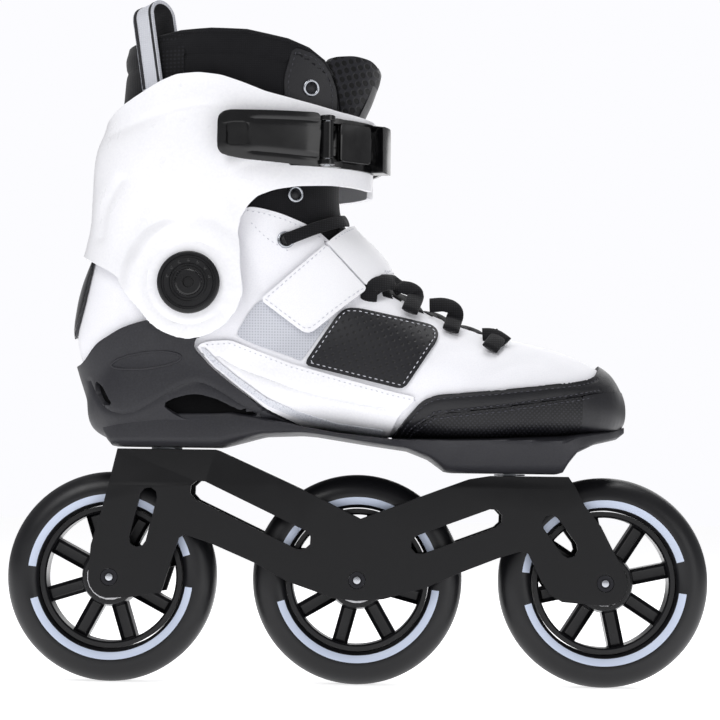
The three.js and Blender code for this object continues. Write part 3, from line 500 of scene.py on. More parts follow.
@dataclass(frozen=True)
class Finish:
    """One finish: what it is, its colours and how its surface was made.

    pitch is the size of the pattern's repeat in millimetres, and depth the height of its relief.
    """

    name: str
    slot: str
    colour: str
    second: str
    roughness: float
    pattern: Pattern
    pitch: float
    depth: float = 0.05
    metallic: float = 0.0
    coat: float = 0.0
    sheen: float = 0.0
    shine: float = 0.5
    centre: tuple[float, float, float] = (0.0, 0.0, 0.0)

    def material(self) -> bpy.types.Material:
        """The finish as a material, made once."""
        name = self.name + ("" if self.centre == (0.0, 0.0, 0.0) else f"_{self.centre[0]:.0f}")
        if name in bpy.data.materials:
            return bpy.data.materials[name]
        material = bpy.data.materials.new(name)
        material.use_nodes = True
        tree = material.node_tree
        tree.nodes.clear()
        shader = add(
            tree, "BsdfPrincipled", Roughness=self.roughness, Metallic=self.metallic,
            Specular_IOR_Level=self.shine, Coat_Weight=self.coat, Coat_Roughness=0.12,
            Sheen_Weight=self.sheen, Sheen_Roughness=0.5,
        )
        add(tree, "OutputMaterial", Surface=shader.outputs[0])
        where = add(tree, "TexCoord").outputs["Object"]
        height, mask = self._relief(tree, where)
        tone = self._tone(tree, where, mask)
        tree.links.new(tone, shader.inputs["Base Color"])
        patchy = add(tree, "TexNoise", Vector=where, Scale=90.0, Detail=4.0).outputs["Fac"]
        rough = add(
            tree, "MapRange", Value=patchy, From_Min=0.3, From_Max=0.7,
            To_Min=self.roughness - 0.04, To_Max=self.roughness + 0.06,
        ).outputs[0]
        tree.links.new(rough, shader.inputs["Roughness"])
        bump = add(tree, "Bump", Height=height, Strength=0.6, Distance=self.depth * MM)
        tree.links.new(bump.outputs[0], shader.inputs["Normal"])
        return material

    def _tone(self, tree: bpy.types.NodeTree, where: bpy.types.NodeSocket, mask: bpy.types.NodeSocket):
        """The colour, from the first to the second by the pattern's mask, slightly uneven."""
        mix = add(
            tree, "Mix", {"data_type": "RGBA"}, i0=mask, i6=linear(self.colour), i7=linear(self.second)
        ).outputs[2]
        drift = add(tree, "TexNoise", Vector=where, Scale=18.0, Detail=2.0).outputs["Fac"]
        value = add(tree, "MapRange", Value=drift, From_Min=0.3, From_Max=0.7, To_Min=0.95, To_Max=1.04)
        return add(tree, "HueSaturation", Color=mix, Value=value.outputs[0]).outputs[0]

    def _relief(self, tree: bpy.types.NodeTree, where: bpy.types.NodeSocket):
        """The pattern's height and its colour mask.

        Args:
            tree: the material's nodes.
            where: the place on the piece, in metres.

        Returns:
            Height and mask sockets, each from 0 to 1.
        """
        repeats = 1 / (self.pitch * MM)
        if self.pattern is Pattern.GRAIN:
            cells = add(tree, "TexVoronoi", {"feature": "DISTANCE_TO_EDGE"}, Vector=where, Scale=repeats)
            height = add(tree, "MapRange", Value=cells.outputs["Distance"], From_Max=0.25).outputs[0]
            return height, add(tree, "Math", {"operation": "MULTIPLY"}, i0=height, i1=0.35).outputs[0]
        if self.pattern in (Pattern.KNIT, Pattern.WEAVE):
            return self._cloth(tree, where, repeats)
        if self.pattern in (Pattern.NET, Pattern.VENTED):
            return self._holes(tree, where, repeats)
        if self.pattern is Pattern.PRINTED_RING:
            return self._ring(tree, where, repeats)
        if self.pattern is Pattern.BRUSHED:
            long = add(tree, "Mapping", Vector=where, Scale=(0.06, 1.0, 1.0)).outputs[0]
            height = add(tree, "TexNoise", Vector=long, Scale=repeats, Detail=3.0).outputs["Fac"]
            return height, height
        height = add(tree, "TexNoise", Vector=where, Scale=repeats, Detail=2.0).outputs["Fac"]
        low, high = (0.56, 0.62) if self.pattern is Pattern.SPECKLED else (0.35, 0.75)
        return height, add(tree, "MapRange", Value=height, From_Min=low, From_Max=high).outputs[0]

    def _cloth(self, tree: bpy.types.NodeTree, where: bpy.types.NodeSocket, repeats: float):
        """Two crossing runs of thread; a woven panel has them at 45 degrees."""
        lean = math.radians(45 if self.pattern is Pattern.WEAVE else 0)
        place = add(tree, "Mapping", Vector=where, Rotation=(0.0, lean, 0.0)).outputs[0]
        ridges = [
            add(
                tree, "TexWave", {"wave_type": "BANDS", "bands_direction": direction},
                Vector=place, Scale=repeats * math.tau / 20, Distortion=0.6, Detail=1.0, Detail_Scale=2.0,
            ).outputs["Fac"]
            for direction in ("X", "Z")
        ]
        height = add(tree, "Math", {"operation": "MULTIPLY"}, i0=ridges[0], i1=ridges[1]).outputs[0]
        return height, height

    def _holes(self, tree: bpy.types.NodeTree, where: bpy.types.NodeSocket, repeats: float):
        """Rows of round holes, dark inside."""
        place = add(
            tree, "Mapping", Vector=where, Rotation=(0.0, math.radians(20), 0.0), Scale=(1.0, 0.001, 1.0)
        )
        dots = add(
            tree, "TexVoronoi", {"feature": "F1"}, Vector=place.outputs[0], Scale=repeats, Randomness=0.0
        ).outputs["Distance"]
        edge = 0.36 if self.pattern is Pattern.NET else 0.2
        height = add(tree, "MapRange", Value=dots, From_Min=edge - 0.06, From_Max=edge + 0.06).outputs[0]
        return height, height

    def _ring(self, tree: bpy.types.NodeTree, where: bpy.types.NodeSocket, repeats: float):
        """A pale printed ring on a tyre's side, open at the front and the back of the wheel."""
        place = add(tree, "Mapping", Vector=where, Location=tuple(-c * MM for c in self.centre)).outputs[0]
        parts = add(tree, "SeparateXYZ", Vector=place).outputs
        flat = add(tree, "CombineXYZ", X=parts[0], Z=parts[2]).outputs[0]
        radius = add(tree, "VectorMath", {"operation": "LENGTH"}, i0=flat).outputs["Value"]
        turn = add(tree, "Math", {"operation": "ARCTAN2"}, i0=parts[2], i1=parts[0]).outputs[0]
        band = add(
            tree, "Math", {"operation": "COMPARE"}, i0=radius, i1=RING_RADIUS * MM, i2=RING_HALF_WIDTH * MM
        ).outputs[0]
        lean = add(tree, "Math", {"operation": "SUBTRACT"}, i0=turn, i1=RING_LEAN).outputs[0]
        upright = add(tree, "Math", {"operation": "SINE"}, i0=lean).outputs[0]
        away = add(tree, "Math", {"operation": "ABSOLUTE"}, i0=upright).outputs[0]
        arcs = add(tree, "Math", {"operation": "GREATER_THAN"}, i0=away, i1=RING_GAP).outputs[0]
        mask = add(tree, "Math", {"operation": "MULTIPLY"}, i0=band, i1=arcs).outputs[0]
        height = add(tree, "TexNoise", Vector=where, Scale=repeats, Detail=2.0).outputs["Fac"]
        return height, mask


# Cast urethane: dense and satin, with a soft grey light on its round crown.
TYRE = Finish(
    "cast_polyurethane", "tyre_rubber", "#111114", "#C8D2E6", 0.36, Pattern.PRINTED_RING, 1.2, 0.02,
    shine=0.4
)
# Moulded nylon: an even satin black that keeps its ribs soft at the edges.
HUB = Finish(
    "moulded_nylon_black", "hub_plastic", "#0C0C0E", "#131316", 0.3, Pattern.MOULDED, 0.8, 0.02, shine=0.4
)
# Ground steel: clear grey with fine lines from the grinding.
STEEL = Finish(
    "bearing_steel", "bearing_steel", "#B4B7BD", "#9A9DA3", 0.26, Pattern.BRUSHED, 0.4, 0.01, 1.0
)
# Zinc plating: a cooler, duller grey than bare steel.
BOLT = Finish(
    "zinc_plated_steel", "fastener_steel", "#A9ACB2", "#8E9197", 0.32, Pattern.BRUSHED, 0.5, 0.01, 1.0
)
# Black oxide on steel: nearly black, with a faint gleam of metal.
AXLE = Finish(
    "black_oxide_steel", "axle_black", "#1B1B1F", "#26262B", 0.34, Pattern.BRUSHED, 0.5, 0.01, 0.6
)
# Polished steel: small, sharp highlights.
BRIGHT = Finish("polished_steel", "pin_steel", "#C9CCD2", "#B2B5BB", 0.18, Pattern.BRUSHED, 0.6, 0.01, 1.0)
# Turned aluminium: pale, with fine lines left by the tool.
ALLOY = Finish(
    "turned_aluminium", "spacer_alloy", "#C5C8CE", "#B0B3B9", 0.3, Pattern.BRUSHED, 0.4, 0.01, 1.0
)
# Anodised alloy: flat black with hardly any light in it.
ANODISED = Finish(
    "black_anodised_alloy", "frame_black", "#08080A", "#0D0D10", 0.42, Pattern.MOULDED, 0.5, 0.01,
    shine=0.32
)
# Moulded rubber: charcoal, with a dry and even look.
RUBBER = Finish(
    "moulded_sole_rubber", "sole_charcoal", "#1F1F24", "#28282D", 0.5, Pattern.MOULDED, 0.9, 0.02, shine=0.4
)
# Smooth rubber: darker and a little shinier than the sole.
BUMPER = Finish(
    "smooth_toe_rubber", "sole_charcoal", "#17171B", "#1F1F24", 0.42, Pattern.MOULDED, 1.1, 0.02, shine=0.4
)
# Coated leather: white, with a pebble that shows only at a low angle.
WHITE_LEATHER = Finish(
    "coated_white_leather", "upper_white", "#F4F4F8", "#E9E9F0", 0.5, Pattern.GRAIN, 1.1, 0.03
)
# Moulded trim: smoother and cleaner than the leather beside it.
WHITE_TRIM = Finish(
    "moulded_white_trim", "trim_white", "#F4F4F7", "#EDEDF2", 0.36, Pattern.MOULDED, 1.0, 0.02
)
# Moulded with specks: pale grey, broken up by darker flecks.
GREY_BAND = Finish(
    "speckled_grey_trim", "trim_white", "#D9DBE2", "#BABDC8", 0.45, Pattern.SPECKLED, 0.7, 0.03
)
# Woven mesh: crossing threads, drawn coarser than real ones so that they show.
SILVER_NET = Finish("silver_mesh", "strap_white", "#C6C8D0", "#A2A5AE", 0.42, Pattern.KNIT, 1.3, 0.08)
# Grained leather: a pebble that breaks up its highlight.
BLACK_LEATHER = Finish(
    "black_leather", "leather_black", "#111115", "#1B1B21", 0.44, Pattern.GRAIN, 1.0, 0.05, shine=0.4
)
# Punched leather: rows of small dark holes.
VENTED_LEATHER = Finish(
    "vented_leather", "leather_black", "#060608", "#141419", 0.44, Pattern.VENTED, 3.2, 0.25, shine=0.4
)
# Woven panel: threads at 45 degrees, drawn coarser than real ones so that they show.
TOE_WEAVE = Finish(
    "woven_toe_panel", "leather_black", "#0A0A0D", "#26262C", 0.5, Pattern.WEAVE, 1.5, 0.25, shine=0.35
)
# Knitted over foam: soft and dull, its stitches drawn coarser than real ones so that they show.
KNIT = Finish(
    "padded_knit", "liner_black", "#0A0A0D", "#17171B", 0.85, Pattern.KNIT, 1.0, 0.12, sheen=0.12, shine=0.2
)
# Ribbed knit: a bolder version of the knit, so that the panel stands out from it.
RIBBED = Finish(
    "ribbed_knit", "liner_black", "#09090B", "#1D1D22", 0.8, Pattern.KNIT, 1.9, 0.3, sheen=0.1, shine=0.2
)
# Spacer mesh: rows of open cells, black in their depth.
TONGUE_NET = Finish(
    "tongue_mesh", "liner_black", "#020203", "#1B1B20", 0.75, Pattern.NET, 3.4, 0.6, sheen=0.1, shine=0.2
)
# Pressed felt: dull grey with a soft nap.
FELT = Finish("footbed_felt", "footbed_grey", "#24242A", "#33333A", 0.9, Pattern.KNIT, 0.9, 0.08, sheen=0.3)
# Woven flat: fine ribs of thread that keep it from shining.
LACE = Finish(
    "flat_woven_lace", "lace_black", "#09090B", "#1C1C21", 0.8, Pattern.KNIT, 1.1, 0.15, sheen=0.1,
    shine=0.2
)
# Spun thread: greyer than the leather, so that each stitch shows.
THREAD_BLACK = Finish("black_thread", "lace_black", "#33333A", "#44444D", 0.6, Pattern.MOULDED, 0.5)
# Spun thread: greyer than the leather, so that each stitch shows.
THREAD_WHITE = Finish("white_thread", "strap_white", "#D5D6DE", "#C6C7D0", 0.6, Pattern.MOULDED, 0.5)
# Coated leather: a little smoother than the upper.
STRAP = Finish("stitched_white_strap", "strap_white", "#F4F4F7", "#EAEAF0", 0.46, Pattern.GRAIN, 0.9, 0.03)
# Moulded and polished: clean white with broad highlights.
CUFF = Finish(
    "glossy_white_cuff", "cuff_white", "#F6F6F9", "#F1F1F5", 0.3, Pattern.MOULDED, 1.2, 0.004, coat=0.2
)
# Glossy moulded nylon: deep black with sharp edges of light.
BUCKLE = Finish(
    "glossy_black_nylon", "buckle_black", "#040405", "#08080A", 0.2, Pattern.MOULDED, 2.0, 0.004, coat=0.15
)
# Satin moulded nylon: black with a low, tight highlight.
CAP = Finish("satin_black_cap", "pivot_black", "#08080A", "#0F0F12", 0.28, Pattern.MOULDED, 0.8, 0.01)
# Painted shade for the cup's hollows: a near-black sheet that stands in for the shade inside them and
# swallows nearly all light.
PAINTED_HOLLOW_SHADE = Finish(
    "hollow_shade", "sole_charcoal", "#030304", "#060607", 0.9, Pattern.MOULDED, 1.0, 0.01, shine=0.1
)
# Lacquered over black: a clear coat with a mirror-like highlight.
BADGE = Finish(
    "glossy_black_badge", "badge_gloss", "#0C0C0F", "#141418", 0.14, Pattern.MOULDED, 3.0, 0.01, coat=0.6
)
# Woven webbing: crossing threads, dull and dry.
WEBBING = Finish("grey_webbing", "loop_webbing", "#B9BBC2", "#D9DAE0", 0.7, Pattern.KNIT, 1.0, 0.15)
# Woven edge of the webbing: black, dull and dry.
WEBBING_BLACK = Finish("black_webbing", "loop_webbing", "#141417", "#26262B", 0.75, Pattern.KNIT, 1.0, 0.15)
# Pressed and plated steel: a bright ring against the leather.
EYELET = Finish("silver_eyelet", "pin_steel", "#B7BAC0", "#9FA2A8", 0.22, Pattern.BRUSHED, 0.5, 0.01, 1.0)


# ------------------------------------------------------------------ finished pieces
@dataclass
class Wall:
    """How a surface is given its thickness: towards its back, with a softened rim."""

    thickness: float
    rim: float = 0.4
    outwards: bool = True


def piece(
    name: str,
    bm: bmesh.types.BMesh,
    finish: Finish,
    body: str | None,
    lift: float = 0.0,
    wall: Wall | None = None,
    stands_for: Sequence[str] = (),
    flat: bool = False,
) -> bpy.types.Object:
    """Turns a mesh in millimetres into a finished piece in metres.

    Args:
        name: the piece's name.
        bm: its mesh, which is freed.
        finish: its finish.
        body: the frame's body that it rides on, or None to leave it unattached.
        lift: how far it is raised.
        wall: its thickness, for a sheet.
        stands_for: frame nodes that it replaces.
        flat: whether it keeps flat shading.

    Returns:
        The object.
    """
    bm.transform(Matrix.Scale(MM, 4) @ Matrix.Translation((0, 0, lift)))
    mesh = bpy.data.meshes.new(name)
    bm.to_mesh(mesh)
    bm.free()
    thing = bpy.data.objects.new(name, mesh)
    bpy.context.scene.collection.objects.link(thing)
    if wall:
        solid = thing.modifiers.new("wall", "SOLIDIFY")
        solid.thickness = wall.thickness * MM
        solid.offset = 1 if wall.outwards else -1
        if wall.rim:
            edge = thing.modifiers.new("rim", "BEVEL")
            edge.width, edge.segments, edge.limit_method = wall.rim * MM, 2, "ANGLE"
            edge.angle_limit = math.radians(RIM_ANGLE)
            edge.use_clamp_overlap = True
        baked = bpy.data.meshes.new_from_object(thing.evaluated_get(bpy.context.evaluated_depsgraph_get()))
        thing.modifiers.clear()
        thing.data = baked
        bpy.data.meshes.remove(mesh)
        baked.name = name
    thing.data.shade_smooth()
    if flat or wall:
        thing.data.set_sharp_from_angle(angle=math.radians(SHARP_ANGLE))
    if flat:
        thing.modifiers.new("even_shading", "WEIGHTED_NORMAL").keep_sharp = True
    thing.data.materials.clear()
    thing.data.materials.append(finish.material())
    if stands_for:
        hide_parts(*stands_for)
    if body:
        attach(thing, body)
    log.info("%s: %d faces", name, len(thing.data.polygons))
    return thing


# ------------------------------------------------------------------ the boot's form
class Front(Enum):
    """Which front line a leg form follows."""

    BOOT = 2
    CUFF = 4


@dataclass
class Last:
    """The form that every boot piece is wrapped on: foot and leg, above the rear mounting face."""

    foot: tuple = (
        (-127, 14, 10.5, 38, 0), (-117, 27, 5.6, 53, 0), (-98, 34, 5.5, 67, 0), (-62, 35.7, 5.5, 73, 0),
        (-28, 38.5, 11, 83, 0), (-5, 41.5, 9, 87, 0.5), (10, 44, 6.5, 80.5, 1), (30, 46.5, 4.9, 68.5, 1.4),
        (52, 48, 4.8, 59, 2.1), (78, 47, 5.6, 52.3, 3.1), (97, 43, 6.6, 47.6, 4.1), (112, 33.5, 8, 41, 5),
        (121, 22, 9.8, 34.5, 5.5), (126, 10, 13.5, 25, 5.8),
    )
    leg: tuple = (
        (18, -126.5, 5, 33, 5), (38, -133.2, 9, 36, 9), (50, -136.2, 14, 38.5, 14),
        (62, -134.8, 18, 40.7, 18),
        (75.5, -132, 16, 41.5, 14), (90, -127.5, 9, 42, 5), (105, -124.3, -6, 42, -3),
        (120, -123.6, -11, 42.5, -0.5), (142, -121.5, -7, 43.8, 0), (151, -118, -4, 44.3, 0.5),
        (170, -116, 4.5, 45.3, 5), (184, -114.9, 8.5, 46, 9), (218, -112, 6, 46, 6),
    )
    squareness: float = 2.4
    crown: float = 2.05
    sole: float = 3.4
    waist: float = 0.4
    voxel: float = 1.9
    around: int = 132

    def __post_init__(self) -> None:
        """Makes the joined foot and leg once, for the pieces to be cut from."""
        self.whole = self._wrapped()
        self.finder = BVHTree.FromBMesh(self.whole)

    def foot_row(self, x: np.ndarray) -> np.ndarray:
        """Half width, underside, top and shift of the foot at each x."""
        knots = [row[0] for row in self.foot]
        return np.stack([curve_through(knots, [row[i] for row in self.foot], x) for i in range(1, 5)])

    def foot_form(self) -> bmesh.types.BMesh:
        """The foot alone, closed."""
        first, last = self.foot[0][0], self.foot[-1][0]

        def shape(u: np.ndarray, v: np.ndarray) -> np.ndarray:
            x = first + (last - first) * v
            half, under, top, shift = self.foot_row(x)
            angle = math.tau * u
            up = np.sin(angle) > 0
            bend = 2 / np.where(up, self.crown, self.sole)
            middle = under + self.waist * (top - under)
            tall = np.where(up, top - middle, middle - under)
            return np.stack(
                [x, shift + half * power(np.cos(angle), bend), middle + tall * power(np.sin(angle), bend)],
                1
            )

        return closed_up(grid(96, 120, shape))

    def leg_rows(self, z: np.ndarray, front: Front) -> np.ndarray:
        """Back, front and half width of the leg at each height."""
        knots = [row[0] for row in self.leg]
        return np.stack(
            [curve_through(knots, [row[i] for row in self.leg], z) for i in (1, front.value, 3)]
        )

    def leg_form(
        self,
        offset: float = 0.0,
        front: Front = Front.BOOT,
        low: float = 18,
        high: float = 218,
        steps: int = 110,
    ) -> bmesh.types.BMesh:
        """The leg as an open sleeve between two heights.

        Args:
            offset: how far outside the form.
            front: the front line it follows.
            low: lowest height.
            high: highest height.
            steps: faces up the sleeve.

        Returns:
            The sleeve, its faces pointing out.
        """

        def shape(u: np.ndarray, v: np.ndarray) -> np.ndarray:
            z = low + (high - low) * v
            back, face, half = self.leg_rows(z, front)
            angle = math.tau * u
            depth, middle = (face - back) / 2 + offset, (face + back) / 2
            bend = 2 / self.squareness
            return np.stack(
                [
                    middle + depth * power(np.cos(angle), bend),
                    (half + offset) * power(np.sin(angle), bend), z
                ], 1
            )

        bm = grid(self.around, steps, shape)
        bmesh.ops.recalc_face_normals(bm, faces=bm.faces)
        outwards = sum(
            f.normal.dot(
                f.calc_center_median() - Vector((-60, 0, f.calc_center_median().z))
            ) for f in bm.faces
        )
        if outwards < 0:
            bmesh.ops.reverse_faces(bm, faces=bm.faces)
        return bm

    def _wrapped(self) -> bmesh.types.BMesh:
        """Foot and leg merged into one skin and eased where they meet."""
        both_forms = joined([self.foot_form(), closed_up(self.leg_form())])
        mesh = bpy.data.meshes.new("last")
        both_forms.to_mesh(mesh)
        both_forms.free()
        thing = bpy.data.objects.new("last", mesh)
        bpy.context.scene.collection.objects.link(thing)
        remesh = thing.modifiers.new("skin", "REMESH")
        remesh.mode, remesh.voxel_size = "VOXEL", self.voxel
        skin = bpy.data.meshes.new_from_object(thing.evaluated_get(bpy.context.evaluated_depsgraph_get()))
        bpy.data.objects.remove(thing)
        bm = bmesh.new()
        bm.from_mesh(skin)
        bpy.data.meshes.remove(skin)
        for _ in range(SKIN_PASSES):
            bmesh.ops.smooth_vert(
                bm, verts=bm.verts, factor=0.5, use_axis_x=True, use_axis_y=True, use_axis_z=True
            )
        bm.normal_update()
        return bm

    def skin(self, offset: float, field: Field, detail: int = 0) -> bmesh.types.BMesh:
        """A piece of the boot's skin, cut out by a field and raised by an offset."""
        bm = self.whole.copy()
        bm.normal_update()
        return finer(trimmed(pushed(bm, offset), field), detail)

    def on_side(self, x: float, z: float, offset: float, side: int) -> tuple[Vector, Vector]:
        """The place and outward direction on the boot's side at an x and a z.

        Args:
            x: along the foot.
            z: height.
            offset: how far outside the form.
            side: -1 for the outer side of the foot, 1 for the inner side.

        Returns:
            Place and normal.
        """
        hit, normal, _, _ = self.finder.ray_cast(Vector((x, side * FAR, z)), Vector((0, -side, 0)))
        if hit is None:
            hit, normal, _, _ = self.finder.find_nearest(Vector((x, side * 20, z)))
        return hit + normal * offset, normal

    def on_cuff(self, x: float, z: float, offset: float, side: int) -> tuple[Vector, Vector]:
        """The place and outward direction on the cuff's side at an x and a z."""

        def half(at: float, height: float) -> float:
            back, face, width = (float(v[0]) for v in self.leg_rows(np.array([height]), Front.CUFF))
            along = min(abs((2 * at - back - face) / (face - back + 2 * offset)), 1.0)
            return (width + offset) * (1 - along**self.squareness) ** (1 / self.squareness)

        y = half(x, z)
        slope = Vector((half(x - 1, z) - half(x + 1, z), 2.0, half(x, z - 1) - half(x, z + 1))).normalized()
        return Vector((x, side * y, z)), Vector((slope.x, side * slope.y, slope.z))


def stitches(
    run: Sequence[tuple[Vector, Vector]], pitch: float = 3.2, length: float = 2.1, radius: float = 0.32
) -> bmesh.types.BMesh:
    """A row of sewn stitches along a run on a surface.

    Args:
        run: places with their outward directions.
        pitch: distance between stitches.
        length: length of one stitch.
        radius: thickness of the thread.

    Returns:
        Every stitch, as one mesh.
    """
    row = bmesh.new()
    gone = 0.0
    for (a, na), (b, _) in zip(run, run[1:]):
        span = b - a
        while gone < span.length:
            along = span.normalized()
            across = na.cross(along).normalized()
            out = along.cross(across)
            turn = Matrix((along, across, out)).transposed().to_4x4()
            place = Matrix.Translation(a + along * gone) @ turn @ Matrix.Diagonal(
                (length / 2, radius, radius, 1)
            )
            bmesh.ops.create_icosphere(row, subdivisions=1, radius=1, matrix=place)
            gone += pitch
        gone -= span.length
    return row


def even(points: Sequence[Point], step: float = 1.6, closed: bool = False) -> list[Point]:
    """A run's places at an even step."""
    corners = [Vector(p) for p in points] + ([Vector(points[0])] if closed else [])
    made = []
    for a, b in zip(corners, corners[1:]):
        count = max(1, round((b - a).length / step))
        made += [tuple(a.lerp(b, i / count)) for i in range(count)]
    return made + [tuple(corners[-1])]


def inset(points: Sequence[Point], amount: float) -> list[Point]:
    """A closed outline moved inwards by an amount."""
    corners = [Vector(p) for p in even(points, 2.0, True)[:-1]]
    area = sum(a.x * b.y - b.x * a.y for a, b in zip(corners, corners[1:] + corners[:1]))
    sign = 1 if area > 0 else -1
    made = []
    for i, here in enumerate(corners):
        run = corners[(i + 1) % len(corners)] - corners[i - 1]
        made.append(here + sign * amount * Vector((-run.y, run.x)).normalized())
    keep = inside(points, (0, 1))(np.array([tuple(p) for p in made])) > amount * 0.9
    return [tuple(p) for p, good in zip(made, keep) if good]


# ------------------------------------------------------------------ wheels and frame
@dataclass
class Wheels:
    """Three wheels with their tyres, spoked hubs, bearings and axles."""

    axles: dict
    radius: float = 50.0
    spokes: int = 8
    spoke_width: float = 7.5
    starts: tuple = (17.0, 30.0, 12.0)

    def build(self) -> None:
        """Makes every wheel."""
        for (label, x), start in zip(self.axles.items(), self.starts):
            place = Matrix.Translation((x, 0, self.radius))
            body = "wheel_" + label
            tyre = self.tyre()
            tyre.transform(place)
            finish = replace(TYRE, centre=(x, 0.0, self.radius))
            piece("tyre_" + label, tyre, finish, body, stands_for=["tyre_" + label])
            hub = self.hub(start)
            hub.transform(place)
            piece("hub_" + label, hub, HUB, body, stands_for=["hub_" + label], flat=True)
            axle = self.axle()
            axle.transform(place)
            piece("axle_" + label, axle, AXLE, "chassis", stands_for=["axle_" + label], flat=True)
            tip = turned([(0, -17.3), (1.7, -17.3), (1.7, -17.55), (1.2, -17.6), (0, -17.6)], 32)
            tip.transform(place)
            piece("axle_tip_" + label, tip, BRIGHT, "chassis", flat=True)
            for face, side in SIDES:
                shield = self.shield(face)
                shield.transform(place)
                piece(f"bearing_shield_{label}_{side}", shield, STEEL, body, flat=True)

    def tyre(self) -> bmesh.types.BMesh:
        """A tyre with a round crown, bulging sides and a lip at the rim."""
        side = [
            (self.radius, 0), (self.radius, 3), (49.6, 5.2), (48.3, 7.8), (46.2, 10.0), (43.6, 11.5),
            (41, 12.0), (38.5, 11.7), (36.4, 10.9), (35.2, 9.9), (34.6, 8.9), (34.35, 7.7),
        ]
        profile = side + [(r, -y) for r, y in reversed(side[1:])]
        return turned(profile, 128)

    def hub(self, start: float) -> bmesh.types.BMesh:
        """Rim, boss and double-ribbed spokes.

        Args:
            start: angle of the first spoke in degrees.

        Returns:
            The hub round the Y axis.
        """
        rim = turned([(31.0, -6.9), (31.8, -7.7), (33.9, -7.7), (33.9, 7.7), (31.8, 7.7), (31.0, 6.9)], 96)
        boss = turned(
            [
                (11.15, -12), (12.4, -12), (13.2, -11.3), (14.2, -6), (14.2, 6), (13.2, 11.3), (12.4, 12),
                (11.15, 12)
            ], 64
        )
        parts = [rim, boss]
        for i in range(self.spokes):
            spoke = box((13.0, -6.2, -self.spoke_width / 2), (31.6, 6.2, self.spoke_width / 2))
            faces = [f for f in spoke.faces if abs(f.normal.y) > 0.9]
            bmesh.ops.inset_individual(spoke, faces=faces, thickness=2.2, depth=0)
            for face in faces:
                bmesh.ops.translate(spoke, vec=-face.normal * 3.2, verts=face.verts)
            softened(spoke, 0.45)
            spoke.transform(Matrix.Rotation(math.radians(-start - 360 * i / self.spokes), 4, "Y"))
            parts.append(spoke)
        return joined(parts)

    def axle(self) -> bmesh.types.BMesh:
        """A shaft with a flush end, a round head and a socket in each."""
        return turned(
            [
                (2.3, -17.35), (3.9, -17.35), (3.9, 17.8), (6.2, 17.8), (6.6, 18.3), (6.6, 19.6),
                (6.1, 20.1),
                (2.3, 20.1), (2.3, 18.0), (0.0, 18.0), (0.0, -16.0), (2.3, -16.0),
            ],
            48,
        )

    def shield(self, face: int) -> bmesh.types.BMesh:
        """The pressed cover of a bearing, on one face of the hub."""
        low, high = sorted((face * 11.75, face * 11.95))
        return turned([(5.9, low), (10.2, low), (10.2, high), (5.9, high)], 48)


def refined(node: str, finish: Finish, body: str, soften: float) -> bpy.types.Object:
    """A frame node with its flat faces merged and its edges softened.

    Args:
        node: the frame node that it stands for.
        finish: its finish.
        body: the body it rides on.
        soften: width of the softening in millimetres.

    Returns:
        The piece.
    """
    bm = bmesh.new()
    bm.from_mesh(bpy.data.objects[node].data)
    bm.transform(Matrix.Scale(1 / MM, 4))
    bmesh.ops.remove_doubles(bm, verts=bm.verts, dist=2e-3)
    bmesh.ops.dissolve_limit(
        bm, angle_limit=math.radians(1.5), use_dissolve_boundaries=False, verts=bm.verts, edges=bm.edges
    )
    softened(bm, soften, 40)
    bmesh.ops.triangulate(bm, faces=[f for f in bm.faces if len(f.verts) > 4])
    return piece(node + "_shaped", bm, finish, body, stands_for=[node], flat=True)


@dataclass
class Chassis:
    """The frame and what bolts it on."""

    def build(self) -> None:
        """Dresses the frame and its fasteners."""
        refined("frame", ANODISED, "chassis", 0.5)
        for end in ("rear", "front"):
            refined("mount_bolt_" + end, BOLT, "chassis", 0.35)
            refined("mount_washer_" + end, BOLT, "chassis", 0.1)


# ------------------------------------------------------------------ sole and heel cup
CUP_TOP = [
    (-150, 37), (-130.1, 38.8), (-122.9, 48.2), (-111.2, 55), (-103.4, 57.7), (-98.1, 58.7), (-90, 62),
    (-79.5, 62), (-74, 54), (-78.2, 46.5), (-68.9, 36.4), (-58.2, 28), (-43.6, 17.7), (-27.3, 11.4),
    (-10.6, 7), (10.8, 3.4),
]
CUP_UNDER = [(10.8, 1.2), (-21.2, 6.2), (-45.6, 5.7), (-57.6, 2.3), (-66.1, 0), (-117.4, 0), (-150, -2)]
TOE_CAP = [
    (12.5, 1.5), (22.1, 13.8), (29.4, 22.1), (36.1, 24.8), (66.5, 27.4), (88.7, 29.9), (103.5, 31.8),
    (109.4, 33.9), (112.5, 37), (114.5, 41.5), (150, 41.5), (150, -6), (12.5, -6),
]
TOE_SEAM = [
    (12.5, -6), (19, 2.5), (25.5, 10), (35.4, 16), (66.5, 19.3), (88.6, 22.6), (101, 24.6), (112, 26.8),
    (150, 31), (150, -6),
]
PIVOT = (-79.5, 75.3)


def eared(bm: bmesh.types.BMesh, reach: float, blend: float, face: float) -> bmesh.types.BMesh:
    """Presses both sides of a shell flat round the pivots.

    Args:
        bm: the mesh, which is changed.
        reach: distance from the pivot's axis where the pressing ends.
        blend: width over which it fades.
        face: distance of the flats from the boot's middle.

    Returns:
        The same mesh.
    """
    places = places_of(bm)
    away = np.hypot(places[:, 0] - PIVOT[0], places[:, 2] - PIVOT[1])
    share = np.clip((reach - away) / blend, 0, 1) * (np.abs(places[:, 1]) > EAR_LEAST_Y)
    places[:, 1] += (np.sign(places[:, 1]) * face - places[:, 1]) * share * share * (3 - 2 * share)
    return moved(bm, places)


